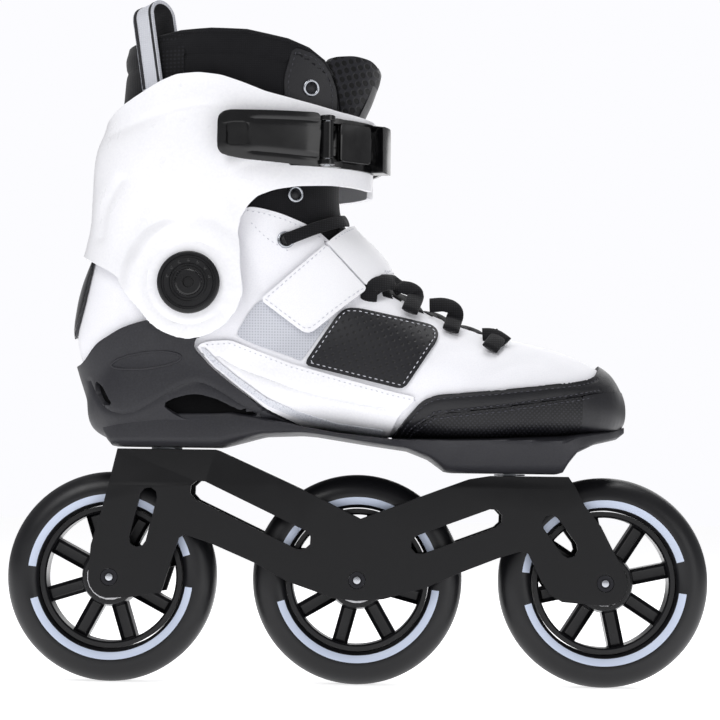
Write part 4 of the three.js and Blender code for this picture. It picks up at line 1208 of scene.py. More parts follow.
@dataclass
class BootPart:
    """Pieces that are wrapped on the boot's form, at its height above the ground."""

    last: Last
    lift: float

    def put(
        self, name: str, bm: bmesh.types.BMesh, finish: Finish, body: str | None, wall: Wall | None = None,
        stands_for: Sequence[str] = (), flat: bool = False,
    ) -> bpy.types.Object:
        """Finishes one piece, as piece() does, and raises it to the boot's height."""
        return piece(name, bm, finish, body, self.lift, wall, stands_for, flat)


@dataclass
class Sole(BootPart):
    """The rubber sole and the stiff heel cup that grows out of it."""

    cup_wall: float = 3.0
    ear_radius: float = 22.0
    ear_face: float = 46.5

    def build(self) -> None:
        """Makes the sole and the heel cup, which stand for one frame node."""
        node = ["heel_cup_and_sole"]
        self.put("sole", self.sole(), RUBBER, "chassis", stands_for=node, flat=True)
        self.put("heel_cup", self.cup(), RUBBER, "chassis", Wall(self.cup_wall, 0.7), node)
        # Painted shade: a near-black sheet over the upper where the cup is open, standing in for the shade in
        # its hollows.
        painted_shade_sheet = self.last.skin(SEWN, self.hollows(0.5))
        self.put("cup_hollow_painted_shade", painted_shade_sheet, PAINTED_HOLLOW_SHADE, "chassis", Wall(0.5, 0.0))
        for side, label in SIDES:
            self.put("cup_ring_" + label, self.ring(side), RUBBER, "chassis")

    def sole(self) -> bmesh.types.BMesh:
        """The sole, from the heel's flat to the raised toe, narrower towards the ground."""
        under = (
            (-121, 5), (-117.4, 0), (-66.1, 0), (-57.6, 2.3), (-45.6, 5.7), (-27.8, 6.6), (-21.2, 6.2),
            (5.4, 2.2),
            (22.9, -0.3), (33.4, -4.5), (41, -10.2), (44, -10.8), (95, -10.8), (97.5, -10), (99.1, -6.2),
            (102.9, -1), (111.8, 3.4), (123.2, 6.1), (127, 9),
        )
        over = (
            (-121, 16), (-60, 18), (-43.6, 14), (-27.3, 10.2), (-10.6, 7.2), (14.8, 4.5), (59.3, 5.5),
            (96.3, 7.5), (120, 10), (127, 12)
        )

        def shape(u: np.ndarray, v: np.ndarray) -> np.ndarray:
            x = -121 + 248 * v
            half, _, _, shift = self.last.foot_row(x)
            low = np.interp(x, *zip(*under))
            high = np.interp(x, *zip(*over))
            angle = math.tau * u
            middle, tall = (low + high) / 2, (high - low) / 2
            z = middle + tall * power(np.sin(angle), 0.35)
            limit = np.interp(z, (-10.8, 3, 8), (27, 42, 60))
            wide = np.minimum(half * 0.985, limit)
            return np.stack(
                [x, shift * np.clip(wide / half, 0, 1) + wide * power(np.cos(angle), 0.35), z], 1
            )

        return closed_up(grid(40, 124, shape))

    def cup(self) -> bmesh.types.BMesh:
        """The heel cup's skin with its ears, its wave line and its hollows."""
        outline = rounded([*CUP_TOP, *CUP_UNDER], 3)
        bm = self.last.skin(SEWN, both(inside(outline), outside(self.hollows(0))), 1)
        eared(bm, self.ear_radius + 2, 4, self.ear_face - self.cup_wall)
        wave = [
            (-126.2, 31.3), (-123.1, 24.8), (-118.4, 17.6), (-111.8, 15.1), (-105.2, 15.8), (-98.7, 18.9),
            (-88.3, 25.2), (-81.8, 28.9), (-76, 30), (-69.4, 28.1), (-61.4, 23.6), (-54.8, 19.8),
            (-46, 16.5),
        ]
        places = places_of(bm)
        return pushed(bm, groove(even(rounded(wave, 6, False)), 0.9, 1.2)(places))

    def hollows(self, spare: float) -> Field:
        """Where the cup is open: a long hollow under the wave and a crescent near the heel."""
        hollow = [
            (-92.5, 19.6), (-84, 23.2), (-76, 24.6), (-66.4, 22.4), (-57, 18.2), (-46, 15.6), (-58, 14.6),
            (-70, 13.2), (-83, 14)
        ]
        crescent = [(-123.4, 31.5), (-122.2, 26), (-119.2, 20.6), (-113.4, 17.8), (-116, 22), (-118.6, 27)]
        fields = [inside(rounded(hollow, 4)), inside(rounded(crescent, 1))]
        return lambda places: np.maximum(fields[0](places), fields[1](places)) + spare

    def ring(self, side: int) -> bmesh.types.BMesh:
        """A raised plain oval on the cup's side."""
        def shape(u: np.ndarray, v: np.ndarray) -> np.ndarray:
            made = []
            for around, along in zip(u * math.tau, v * math.tau):
                x, z = -99 + 16 * math.cos(along), 39.7 + 4.2 * math.sin(along) + 0.12 * 16 * math.cos(along)
                place, normal = self.last.on_side(x, z, SEWN + self.cup_wall - 0.1, side)
                tangent = Vector((-16 * math.sin(along), 0, 4.2 * math.cos(along))).normalized()
                across = normal.cross(tangent).normalized()
                made.append(place + (across * math.cos(around) + normal * math.sin(around)) * 0.6)
            return np.array([tuple(p) for p in made])

        bm = grid(8, 72, shape)
        bmesh.ops.recalc_face_normals(bm, faces=bm.faces)
        return bm


# ------------------------------------------------------------------ upper and what is sewn to it
COLLAR = [
    (-150, 86.5), (-120, 90.5), (-95, 94.5), (-70, 103), (-53, 112.2), (-46.1, 111.3), (-37.3, 109.2),
    (-25.3, 104.6), (-19.6, 101.5), (-12, 94.6), (20, 94.6), (150, 94.6), (150, -20), (-150, -20),
]
THROAT = [
    (-40, 32), (-10, 28), (8, 22), (20, 18), (58, 14), (63, 5), (63, -5), (58, -14), (20, -18), (8, -22),
    (-10, -28), (-40, -32)
]
TRIM = [
    (-76.5, 47.1), (-71, 49.1), (-60.3, 49.8), (-48.4, 45.1), (-32.3, 38.9), (-5.6, 31.8), (15.8, 26.2),
    (27.5, 23.6), (19.4, 16.5), (12.4, 4.3), (10.9, 3.9), (-10.4, 7.4), (-27, 12.1), (-43.1, 18.5),
    (-57.6, 28.8), (-68.2, 37.2),
]
TRIM_GROOVES = (
    [(-66, 42.5), (-57, 36.6), (-32.1, 27.8), (-10.7, 22.2), (12, 18.4)],
    [(-72, 45.5), (-66, 39.5), (-57.6, 32.8), (-43.1, 22.6), (-27, 16.2), (-10.4, 11.6), (12, 8.5)],
)
TRIM_BAND = [
    *TRIM_GROOVES[1], (10.9, 4.9), (-10.4, 8.3), (-27, 13), (-43.1, 19.4), (-57.6, 29.7), (-68, 38),
    (-75.3, 46.6)
]
PATCH = [
    (-26, 38.3), (21, 27.1), (36.5, 50.8), (36.6, 55), (33.5, 58), (24, 60), (-1, 65.2), (-6.5, 65.2),
    (-10, 62.6),
]
WINDOW = [
    (-58, 51.5), (-48.4, 47.5), (-30, 41.5), (-27.5, 39.6), (-13, 60.5), (-20, 61), (-29, 58.5),
    (-46.4, 69), (-52, 62)
]
STRAP_OUTLINE = [(-46.6, 68.2), (-25.5, 53), (-22, 53.5), (13.3, 83.4), (42, 109), (24, 133), (-7.5, 103.9)]
TAB_OUTLINE = [(-46.6, 68.2), (-25.5, 53), (-22, 53.5), (2.6, 74.3), (-17.1, 94.8)]
TAB_ROOM = [(-62, 62), (-20, 40), (5.3, 72.8), (-25.7, 104.8), (-40, 101)]


@dataclass
class Upper(BootPart):
    """The white upper with its toe cap, trims, patches, strap, stitching and badge."""

    wall: float = 2.2

    def build(self) -> None:
        """Makes every piece of the upper."""
        collar, throat = inside(rounded(COLLAR, 4)), both(inside(rounded(THROAT, 6), (0, 1)), beyond(2, 42))
        shell = self.last.skin(0.0, both(collar, outside(throat)))
        self.put(
            "upper", self.creased(shell), WHITE_LEATHER, "chassis", Wall(self.wall, 0.8, False), ["upper"]
        )
        self.toe()
        for side, label in SIDES:
            self.side(side, label)
        self.strap()
        self.badge()
        self.seams()

    def creased(self, bm: bmesh.types.BMesh) -> bmesh.types.BMesh:
        """Eases soft folds into the leather over the instep and behind the toe."""
        places = places_of(bm)
        folds = np.zeros(len(places))
        runs = (
            [(34, 42), (46, 47), (60, 46)], [(60, 34), (72, 40), (84, 41)],
            [(-60, 96), (-50, 84), (-47, 72)],
            [(-108, 80), (-112, 66), (-108, 54)],
        )
        for run in runs:
            folds += groove(even(rounded(run, 5, False)), 2.6, 0.55)(places)
        return pushed(bm, folds)

    def toe(self) -> None:
        """The toe cap: leather band, woven panels and a smooth bumper."""
        cap = inside(rounded(TOE_CAP, 2.5))
        panel = both(cap, inside(rounded(TOE_SEAM, 3)))
        front = beyond(0, 104)
        top = [p for p in inset(rounded(TOE_CAP, 2.5), 1.9) if p[1] > 4 and p[0] < 112]
        rows = [
            sorted(top), [(x, z + 1.3) for x, z in TOE_SEAM[1:8]], [(x, z - 1.4) for x, z in TOE_SEAM[1:8]]
        ]
        band = self.last.skin(SEWN, both(cap, outside(panel)), 1)
        places = places_of(band)
        band = pushed(band, sum(groove(even(run), 0.7, 0.5)(places) for run in rows[:2]))
        self.put("toe_band", band, BLACK_LEATHER, "chassis", Wall(1.7, 0.6), ["toe_cap"])
        weave = self.last.skin(SEWN, both(panel, outside(front)), 1)
        self.put("toe_panel", weave, TOE_WEAVE, "chassis", Wall(1.3, 0.0), ["toe_cap"])
        bumper = self.last.skin(SEWN, both(panel, front), 1)
        places = places_of(bumper)
        swell = np.clip((places[:, 0] - 104) / 8, 0, 1)
        self.put("toe_bumper", pushed(bumper, 0.7 * swell), BUMPER, "chassis", Wall(1.3, 0.0), ["toe_cap"])
        sewn = []
        for side in (-1, 1):
            for run, out in zip(rows, (1.8, 1.8, 1.75)):
                line = [self.last.on_side(x, z, out, side) for x, z in even(run, 1.5)]
                sewn.append(stitches(line, 3.0, 2.0, 0.32))
        self.put("toe_stitches", joined(sewn), THREAD_BLACK, "chassis")

    def side(self, side: int, label: str) -> None:
        """Trim, patch and mesh window on one side of the boot.

        Args:
            side: -1 for the outer side, 1 for the inner side.
            label: the side's name.
        """
        half = beyond(1, 5 * side, side)
        trim = self.last.skin(SEWN, both(inside(rounded(TRIM, 2.5)), half), 1)
        places = places_of(trim)
        sunk = sum(groove(even(rounded(run, 6, False)), 0.8, 1.0)(places) for run in TRIM_GROOVES)
        self.put(
            "side_trim_" + label + "_shell", pushed(trim, sunk), WHITE_TRIM, "chassis", Wall(2.0, 0.6),
            ["side_trim_" + label]
        )
        speckled = self.last.skin(2.15, both(inside(rounded(TRIM_BAND, 0.8)), half), 1)
        self.put("trim_band_" + label, speckled, GREY_BAND, "chassis", Wall(0.35, 0.0))
        patch = self.last.skin(SEWN, both(inside(rounded(PATCH, 3)), half), 1)
        self.put(
            "vent_patch_" + label + "_leather", patch, VENTED_LEATHER, "chassis", Wall(0.9, 0.3),
            ["vent_patch_" + label]
        )
        window = self.last.skin(0.15, both(inside(rounded(WINDOW, 3)), half), 1)
        self.put("mesh_window_" + label, window, SILVER_NET, "chassis", Wall(0.5, 0.2))
        edge = [self.last.on_side(x, z, 1.25, side) for x, z in inset(PATCH, 1.7)]
        self.put(
            "patch_stitches_" + label, stitches(edge + edge[:1], 2.8, 1.8, 0.25), THREAD_WHITE, "chassis"
        )
        upper_edge = [(x, z - 1.6) for x, z in TRIM[1:8]]
        line = [self.last.on_side(x, z, 2.3, side) for x, z in even(upper_edge)]
        self.put("trim_stitches_" + label, stitches(line, 2.6, 1.2, 0.3), THREAD_WHITE, "chassis")

    def strap(self) -> None:
        """The slanting instep strap, in two pieces that part where the tab peels open."""
        tab = both(inside(rounded(TAB_OUTLINE, 2)), OUTER_SIDE)
        across = both(inside(rounded(STRAP_OUTLINE, 2)), outside(both(inside(TAB_ROOM), OUTER_SIDE)))
        band = self.last.skin(1.5, across, 1)
        self.put("instep_strap_band", band, STRAP, "chassis", Wall(2.0, 0.6), ["instep_strap"])
        end = self.last.skin(1.5, tab, 1)
        self.put("strap_tab_end", end, STRAP, "strap_tab", Wall(2.0, 0.6), ["strap_tab"])
        rows = {
            "strap_tab": [[(-18.5, 92.2), (-44.2, 68.6), (-25.4, 55.2), (-22.6, 55.6), (0.2, 74.6)]],
            "chassis": [[(-13.5, 96.6), (-6.5, 102.5)], [(8.5, 81.5), (16, 88)]],
        }
        for body, runs in rows.items():
            lines = [[self.last.on_side(x, z, 3.6, -1) for x, z in even(run)] for run in runs]
            made = joined(stitches(line, 2.7, 1.8, 0.26) for line in lines)
            self.put("strap_stitches_" + body, made, THREAD_WHITE, body)

    def badge(self) -> None:
        """A plain glossy lens on the heel."""
        def oval(places: np.ndarray) -> np.ndarray:
            reach = np.hypot(places[:, 1] / 14.5, (places[:, 2] - 71) / 19.3)
            return np.minimum((1 - reach) * 14.5, -70 - places[:, 0])

        lens = trimmed(finer(pushed(self.last.whole.copy(), SEWN), 1), oval)
        swell = np.clip(oval(places_of(lens)) / 14.5, 0, 1) ** 0.5
        self.put(
            "heel_badge_lens", pushed(lens, 1.2 * swell), BADGE, "chassis", Wall(1.7, 0.5), ["heel_badge"]
        )

    def seams(self) -> None:
        """Rows of stitches along the collar and the quarter's seam."""
        rows = []
        collar = [(-53, 110), (-46.1, 109), (-37.3, 106.9), (-25.3, 102.3), (-19, 98.5)]
        quarter = [(-51, 104), (-44, 97), (-34, 91.5)]
        for side in (-1, 1):
            for run in (collar, quarter):
                line = [self.last.on_side(x, z, 0.1, side) for x, z in even(rounded(run, 4, False))]
                rows.append(stitches(line, 2.6, 1.2, 0.26))
        self.put("upper_stitches", joined(rows), THREAD_WHITE, "chassis")


# ------------------------------------------------------------------ liner and tongue
COLLAR_TOP = [
    (-11, 160.2), (-12, 166), (-14.5, 175.5), (-18.5, 181.5), (-25.7, 186.8), (-35.4, 190.6),
    (-54.6, 194.6),
    (-71.3, 195.3), (-85.7, 194.6), (-98.6, 192.3), (-111.5, 190.7), (-150, 191),
]
LINER_SIDE = [*COLLAR_TOP, (-150, -20), (150, -20), (150, 93), (-9, 93)]
TONGUE_SIDE = [
    (-10.3, 93), (40, 93), (40, 176), (9.5, 180), (4, 184.6), (-4.4, 185.2), (-14.5, 183.4), (-16.2, 180.4),
    (-13.8, 176.8), (-11.3, 166.2), (-10.3, 160.2),
]
TONGUE_PLAN = [(-13, 24), (8, 19), (20, 15), (54, 11), (54, -11), (20, -15), (8, -19), (-13, -24)]


@dataclass
class Liner(BootPart):
    """The padded inner boot: foot, ankle collar, tongue, footbed and pull loop."""

    hinge_low: float = 92.0
    hinge_high: float = 118.0

    def build(self) -> None:
        """Makes the soft pieces."""
        self.collar()
        self.tongue()
        bed = self.last.skin(-8.3, lambda p: 13.5 - p[:, 2])
        self.put("footbed_felt", bed, FELT, "chassis", Wall(2.6, 0.4, False), ["footbed"])
        self.loop()

    def bent(self, thing: bpy.types.Object, fill: float) -> None:
        """Bakes a soft piece's place into its mesh."""
        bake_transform(thing)

    def swollen(self, height: np.ndarray) -> np.ndarray:
        """How far out the liner's skin lies: under the upper below, free above."""
        return np.interp(height, (self.hinge_low, self.hinge_high), (-2.6, -0.4))

    def collar(self) -> None:
        """Foot and ankle of the liner as one padded shell with a rolled rim."""
        throat = both(
            inside([(x, y * 1.02) for x, y in TONGUE_PLAN], (0, 1)), beyond(2, 41.5),
            outside(beyond(2, 100))
        )
        shell = self.last.skin(0, both(inside(rounded(LINER_SIDE, 3)), outside(throat)))
        places = places_of(shell)
        top = np.array([p for p in COLLAR_TOP[::-1]], float)
        rim = np.interp(places[:, 0], top[:, 0], top[:, 1])
        below = rim - places[:, 2]
        roll = 0.9 * np.exp(-(((below - 5.5) / 3.5) ** 2)) - 0.9 * np.exp(-(((below - 11.5) / 1.3) ** 2))
        roll *= places[:, 2] > 150
        pushed(shell, self.swollen(places[:, 2]) + roll)
        thing = self.put("liner", shell, KNIT, None, Wall(5.2, 2.0, False), ["liner_foot", "liner_collar"])
        self.bent(thing, 0.7)
        self.binding()
        patch = [(-36, 153), (-12.8, 153), (-12.6, 168), (-16.5, 178), (-22, 184), (-33, 187), (-37, 172)]
        for side, label in SIDES:
            half = beyond(1, 3 * side, side)
            guard = self.last.skin(-0.35, both(inside(rounded(patch, 3)), half), 1)
            self.put("eyelet_guard_" + label, guard, BLACK_LEATHER, "cuff", Wall(0.8, 0.3))
            edge = [self.last.on_side(x, z, 0.55, side) for x, z in inset(patch, 2.0)]
            self.put(
                "guard_stitches_" + label, stitches(edge + edge[:1], 2.8, 1.7, 0.22), THREAD_BLACK, "cuff"
            )
            panel = [(-97, 165), (-84, 167), (-84, 193.2), (-97, 191.2)]
            ribs = self.last.skin(-0.35, both(inside(panel), half), 1)
            self.put("ribbed_panel_" + label, ribs, RIBBED, "cuff", Wall(0.6, 0.2))

    def binding(self) -> None:
        """A piped edge round the top of the liner."""
        rows = []
        for side in (-1, 1):
            run = [self.last.on_side(x, z - 0.6, -0.4, side) for x, z in even(COLLAR_TOP[2:10], 3.0)]
            rows.append(tube([place for place, _ in run], 1.0))
        self.put("liner_piping", joined(rows), LACE, "cuff")

    def tongue(self) -> None:
        """The tongue from the laces to its padded top."""
        low = both(inside(TONGUE_PLAN, (0, 1)), beyond(2, 42), outside(beyond(2, 101)), beyond(0, -13))
        high = both(inside(rounded(TONGUE_SIDE, 2.5)), beyond(2, 92))
        shell = self.last.skin(0, either(low, high))
        places = places_of(shell)
        swell = np.interp(places[:, 2], (90, 118, 150, 178, 188), (-1.2, -0.6, -0.6, 0.9, 0.2))
        thing = self.put(
            "tongue", pushed(shell, swell), TONGUE_NET, None, Wall(6.0, 1.8, False),
            ["tongue_upper", "tongue_lower"]
        )
        self.bent(thing, 0.6)
        front = both(high, lambda p: 15 - np.abs(p[:, 1]), outside(beyond(2, 183)))
        strip = self.last.skin(-0.4, both(front, beyond(2, 119)), 1)
        self.put("tongue_front", strip, BLACK_LEATHER, "cuff", Wall(1.1, 0.5))

    def loop(self) -> None:
        """The webbing loop over the liner's rim: grey outside with woven edges, black inside."""
        place = Matrix.Translation((-102, -33, 196)) @ Matrix.Rotation(math.radians(-131), 4, "Z")
        place = place @ Matrix.Rotation(math.radians(12), 4, "X") @ Matrix.Rotation(math.radians(90), 4, "X")
        width, outer, wall = 12.5, 2.6, 1.2
        gap = 13.0
        middle, crown = outer - wall - gap / 2, 6.0
        line = [(outer - wall / 2, z) for z in np.linspace(-28, crown, 10)]
        line += arc(middle, crown, gap / 2 + wall / 2, 0, 180, 16)[1:]
        line += [(middle - gap / 2 - wall / 2, z) for z in np.linspace(crown, -14, 7)[1:]]

        def band(low: float, high: float, thick: float, shift: float) -> bmesh.types.BMesh:
            spine = [Vector((x, z, 0)) for x, z in line]
            verts: list[list[Vector]] = []
            for i, here in enumerate(spine):
                run = (spine[min(i + 1, len(spine) - 1)] - spine[max(i - 1, 0)]).normalized()
                out = Vector((run.y, -run.x, 0))
                ring = ((-1, low), (1, low), (1, high), (-1, high))
                verts.append([here + out * (shift + s * thick / 2) + Vector((0, 0, w)) for s, w in ring])
            bm = bmesh.new()
            rings = [[bm.verts.new(p) for p in ring] for ring in verts]
            for a, b in zip(rings, rings[1:]):
                for i in range(4):
                    bm.faces.new((a[i], a[(i + 1) % 4], b[(i + 1) % 4], b[i]))
            closed_up(bm)
            bm.transform(place)
            return bm

        self.put(
            "pull_loop_webbing", softened(band(-width / 2, width / 2, wall, 0), 0.3), WEBBING, "cuff",
            stands_for=["pull_loop"], flat=True
        )
        edges = [band(low, low + 1.6, 0.3, wall / 2 + 0.1) for low in (-width / 2 + 0.4, width / 2 - 2.0)]
        edges.append(band(-width / 2 + 0.1, width / 2 - 0.1, 0.3, -wall / 2 - 0.1))
        self.put("pull_loop_edges", joined(edges), WEBBING_BLACK, "cuff", flat=True)


# ------------------------------------------------------------------ cuff, pivots and buckle
CUFF_OUTLINE = [
    *arc(-79.5, 75.3, 25.2, 220, 354, 14),
    (-55.9, 83.5), (-57.3, 98.5), (-56.8, 105), (-52.9, 112), (-48.4, 116.6), (-40.4, 119.7),
    (-30.3, 121.6),
    (-15.1, 122.8), (30, 123), (30, 153), (-12.5, 157.7), (-30.9, 161.6), (-45.2, 165), (-55.5, 169),
    (-65.7, 172.4), (-75.9, 173.7), (-86.1, 173), (-93.7, 170.1), (-103.3, 164.8), (-113, 159.5),
    (-121, 153), (-127, 143), (-150, 139),
    (-150, 91.5), (-132.5, 91.2), (-123.7, 84.9), (-115.7, 80.8), (-111.9, 77.7), (-107.6, 71.9),
]


@dataclass
class Cuff(BootPart):
    """The moulded ankle cuff with the caps over its pivots."""

    inner: float = 3.6
    wall: float = 2.9
    ear_radius: float = 25.2
    ear_inner: float = 46.9
    opening: float = 13.0

    def build(self) -> None:
        """Makes the cuff, its pivot caps and bolts."""
        field = both(
            inside(rounded(CUFF_OUTLINE, 2)),
            outside(both(lambda p: self.opening - np.abs(p[:, 1]), beyond(0, -30)))
        )
        shell = trimmed(finer(self.last.leg_form(self.inner, Front.CUFF, 44, 180, 96), 1), field)
        places = places_of(eared(shell, self.ear_radius + 7, 8, self.ear_inner))
        runs = (
            ([(-121, 98), (-119.5, 112), (-112, 124)], 3.0, 0.9),
            ([(-103, 88), (-106, 100), (-101, 112)], 3.5, 0.7),
            ([(-60, 104), (-66, 118), (-62, 132), (-40, 137), (-10, 136)], 2.4, -0.5),
            ([(-118, 146), (-100, 152), (-80, 158), (-58, 157), (-36, 153)], 3.0, 0.6),
        )
        sunk = sum(groove(even(rounded(run, 8, False)), width, depth)(places) for run, width, depth in runs)
        sunk = sunk + groove(arc(*PIVOT, 19.5, 0, 360, 48), 1.0, 0.5)(places)
        self.put("cuff_shell", pushed(shell, sunk), CUFF, "cuff", Wall(self.wall, 0.8), ["cuff"])
        for side, label in SIDES:
            cap = self.cap(side)
            self.put(
                "pivot_cap_" + label + "_disc", cap, CAP, "cuff", stands_for=["pivot_cap_" + label],
                flat=True
            )
            bolt = self.bolt(side)
            self.put(
                "pivot_bolt_" + label + "_head", bolt, CAP, "chassis", stands_for=["pivot_bolt_" + label],
                flat=True
            )

    def on_pivot(self, profile: Sequence[Point], side: int, steps: int) -> bmesh.types.BMesh:
        """A profile turned about the pivot's axis on one side."""
        bm = turned([(r, side * y) for r, y in profile], steps)
        bm.transform(Matrix.Translation((PIVOT[0], 0, PIVOT[1])))
        return bm

    def cap(self, side: int) -> bmesh.types.BMesh:
        """A disc with stepped rings and small dots round its upper half."""
        low, high = 50.2, 52.7
        rings = [
            (6.3, low), (14.5, low), (14.5, high - 0.7), (13.9, high - 0.1), (12.7, high),
            (12.4, high - 0.6),
            (11.7, high - 0.6), (11.4, high), (8.9, high), (8.6, high - 0.5), (7.7, high - 0.5),
            (7.4, high - 0.1), (6.3, high - 0.1),
        ]
        parts = [self.on_pivot(rings, side, 72)]
        dots = bmesh.new()
        for angle in range(15, 166, 25):
            turn = math.radians(angle)
            x, z = PIVOT[0] + 10.1 * math.cos(turn), PIVOT[1] + 10.1 * math.sin(turn)
            place = Matrix.Translation((x, side * high, z)) @ Matrix.Diagonal((0.75, 0.35, 0.75, 1))
            bmesh.ops.create_icosphere(dots, subdivisions=2, radius=1, matrix=place)
        return joined([*parts, dots])

    def bolt(self, side: int) -> bmesh.types.BMesh:
        """The pivot's shaft and head with a round socket."""
        return self.on_pivot(
            [
                (0, 42.6), (4, 42.6), (4, 50.3), (6, 50.3), (6, 53), (5.4, 53.5), (2.6, 53.5), (2.3, 51.9),
                (0, 51.9)
            ], side, 48
        )


@dataclass
class Buckle(BootPart):
    """The lever buckle on the cuff's front and its toothed strap."""

    pin_x: float = -16.0
    pin_y: float = -49.97
    low: float = 130.8
    high: float = 153.8
    ladder_low: float = 134.0
    ladder_high: float = 150.0
    base: float = 6.7
    ladder: tuple = (8.5, 10.4)
    lever: float = 10.7
    rivet: tuple = (-36.0, 142.0)

    def build(self) -> None:
        """Makes the buckle's pieces."""
        base = self.plate(self.base, self.upright(-34, 5.5))
        hoop = self.plate(self.base, self.upright(2.6, 5.8), 0.6)
        cheek = 2.5
        lows = (self.low, self.high - cheek)
        cheeks = [self.barrel(3.6, low, low + cheek) for low in lows]
        edges = [self.plate(self.base, self.upright(-20, -12, low, low + cheek)) for low in lows]
        walls = [self.thick(base, 1.5), self.thick(hoop, 7.9)]
        base_shell = joined([*walls, *cheeks, *[self.thick(edge, 5.8) for edge in edges]])
        self.put("buckle_base_plate", base_shell, BUCKLE, "cuff", stands_for=["buckle_base"], flat=True)
        self.make_lever()
        self.make_pawl()
        self.make_ladder()
        pin = self.barrel(1.5, self.low - 0.4, self.high + 0.4)
        self.put("buckle_pin_rod", pin, BRIGHT, "cuff", stands_for=["buckle_pin"], flat=True)

    def sleeve(self, offset: float) -> bmesh.types.BMesh:
        """The cuff's form round the buckle, at an offset."""
        return finer(self.last.leg_form(offset, Front.CUFF, 126, 160, 34), 1)

    def upright(
        self, start: float, end: float, low: float | None = None, high: float | None = None
    ) -> list[Point]:
        """An upright rectangle in side view."""
        low, high = low or self.low, high or self.high
        return [(start, low), (end, low), (end, high), (start, high)]

    def plate(self, offset: float, outline: Sequence[Point], soft: float = 0.4) -> bmesh.types.BMesh:
        """A plate's back face, wrapped on the outer side of the cuff's form."""
        return trimmed(self.sleeve(offset), both(inside(rounded(outline, soft)), OUTER_SIDE))

    def thick(self, bm: bmesh.types.BMesh, wall: float) -> bmesh.types.BMesh:
        """Gives a plate its wall, outwards."""
        bm.normal_update()
        bmesh.ops.solidify(bm, geom=bm.faces[:] + bm.edges[:] + bm.verts[:], thickness=-wall)
        bmesh.ops.recalc_face_normals(bm, faces=bm.faces)
        return bm

    def barrel(self, radius: float, low: float, high: float) -> bmesh.types.BMesh:
        """A round bar on the lever's axis."""
        bm = bmesh.new()
        place = Matrix.Translation((self.pin_x, self.pin_y, (low + high) / 2))
        bmesh.ops.create_cone(
            bm, cap_ends=True, segments=40, radius1=radius, radius2=radius, depth=high - low, matrix=place
        )
        return softened(bm, 0.35)

    def make_lever(self) -> None:
        """The long lever: a crowned plate with a window and its knuckle."""
        outline = [
            (-66.4, 152.5), (-63, 155), (-20, 155), (-20, 130), (-53.5, 132.6), (-64, 134.4), (-66.6, 137)
        ]
        window = inside(rounded(self.upright(-62.5, -52.5, 139, 149.5), 1.8))
        body = both(inside(rounded(outline, 3)), outside(window), OUTER_SIDE)
        plate = trimmed(self.sleeve(self.lever), body)
        places = places_of(plate)
        crown = 0.5 * np.clip(inside(outline)(places) / 5, 0, 1)
        rib = groove([(-50, 136.5), (-22, 134.6)], 1.0, 0.6)(places) + groove(
            [(-50, 151), (-22, 151)], 1.0, 0.6
        )(places)
        self.put(
            "buckle_lever_plate", pushed(plate, crown + rib), BUCKLE, "buckle_lever", Wall(2.7, 0.8),
            ["buckle_lever"]
        )
        knuckle = self.barrel(2.8, self.low + 2.9, self.high - 2.9)
        self.put("buckle_lever_knuckle", knuckle, BUCKLE, "buckle_lever", flat=True)
        back = self.plate(self.lever + 0.2, self.upright(-62.9, -52.1, 138.6, 149.9), 1.5)
        self.put("buckle_lever_inlay", back, BUCKLE, "buckle_lever", Wall(0.6, 0.1))

    def make_pawl(self) -> None:
        """The catch that holds the strap, with a ribbed thumb pad."""
        outline = self.upright(-11.4, 1.8, self.low + 2.6, self.high - 2.6)
        body = self.plate(self.lever, outline, 1.5)
        places = places_of(body)
        ribs = sum(groove([(x, 130), (x, 155)], 0.5, 0.35)(places) for x in (-9, -6.8, -4.6))
        self.put(
            "buckle_pawl_plate", pushed(body, ribs), BUCKLE, "buckle_pawl", Wall(2.8, 0.7), ["buckle_pawl"]
        )

    def make_ladder(self) -> None:
        """The toothed strap round the cuff's front and the rivet that holds its end."""
        end = rounded([*arc(*self.rivet, 8, 90, 270, 12), (60, self.ladder_low), (60, self.ladder_high)], 0.5)
        outline = self.upright(-30, 60, self.ladder_low, self.ladder_high)
        field = either(both(inside(outline), beyond(1, 0.4, -1)), both(inside(end), beyond(1, -0.4)))
        band = trimmed(self.sleeve(self.ladder[0]), field)
        places = places_of(band)
        within = (np.abs(places[:, 2] - self.rivet[1]) < 5.2) & (places[:, 1] < 20)
        teeth = 0.45 * (np.sin(places[:, 1] * math.tau / 3.0) > 0) * within
        self.put(
            "ladder_strap_band", pushed(band, teeth), BUCKLE, "cuff", Wall(1.45, 0.3), ["ladder_strap"]
        )
        place, _ = self.last.on_cuff(*self.rivet, self.ladder[1], 1)
        rivet = turned(
            [
                (0, 45), (2, 45), (2, place.y + 0.4), (5, place.y + 0.4), (4.7, place.y + 1.4),
                (3.4, place.y + 2), (0, place.y + 2.2)
            ],
            40
        )
        rivet.transform(Matrix.Translation((self.rivet[0], 0, self.rivet[1])))
        self.put("ladder_rivet_head", rivet, BRIGHT, "cuff", stands_for=["ladder_rivet"], flat=True)


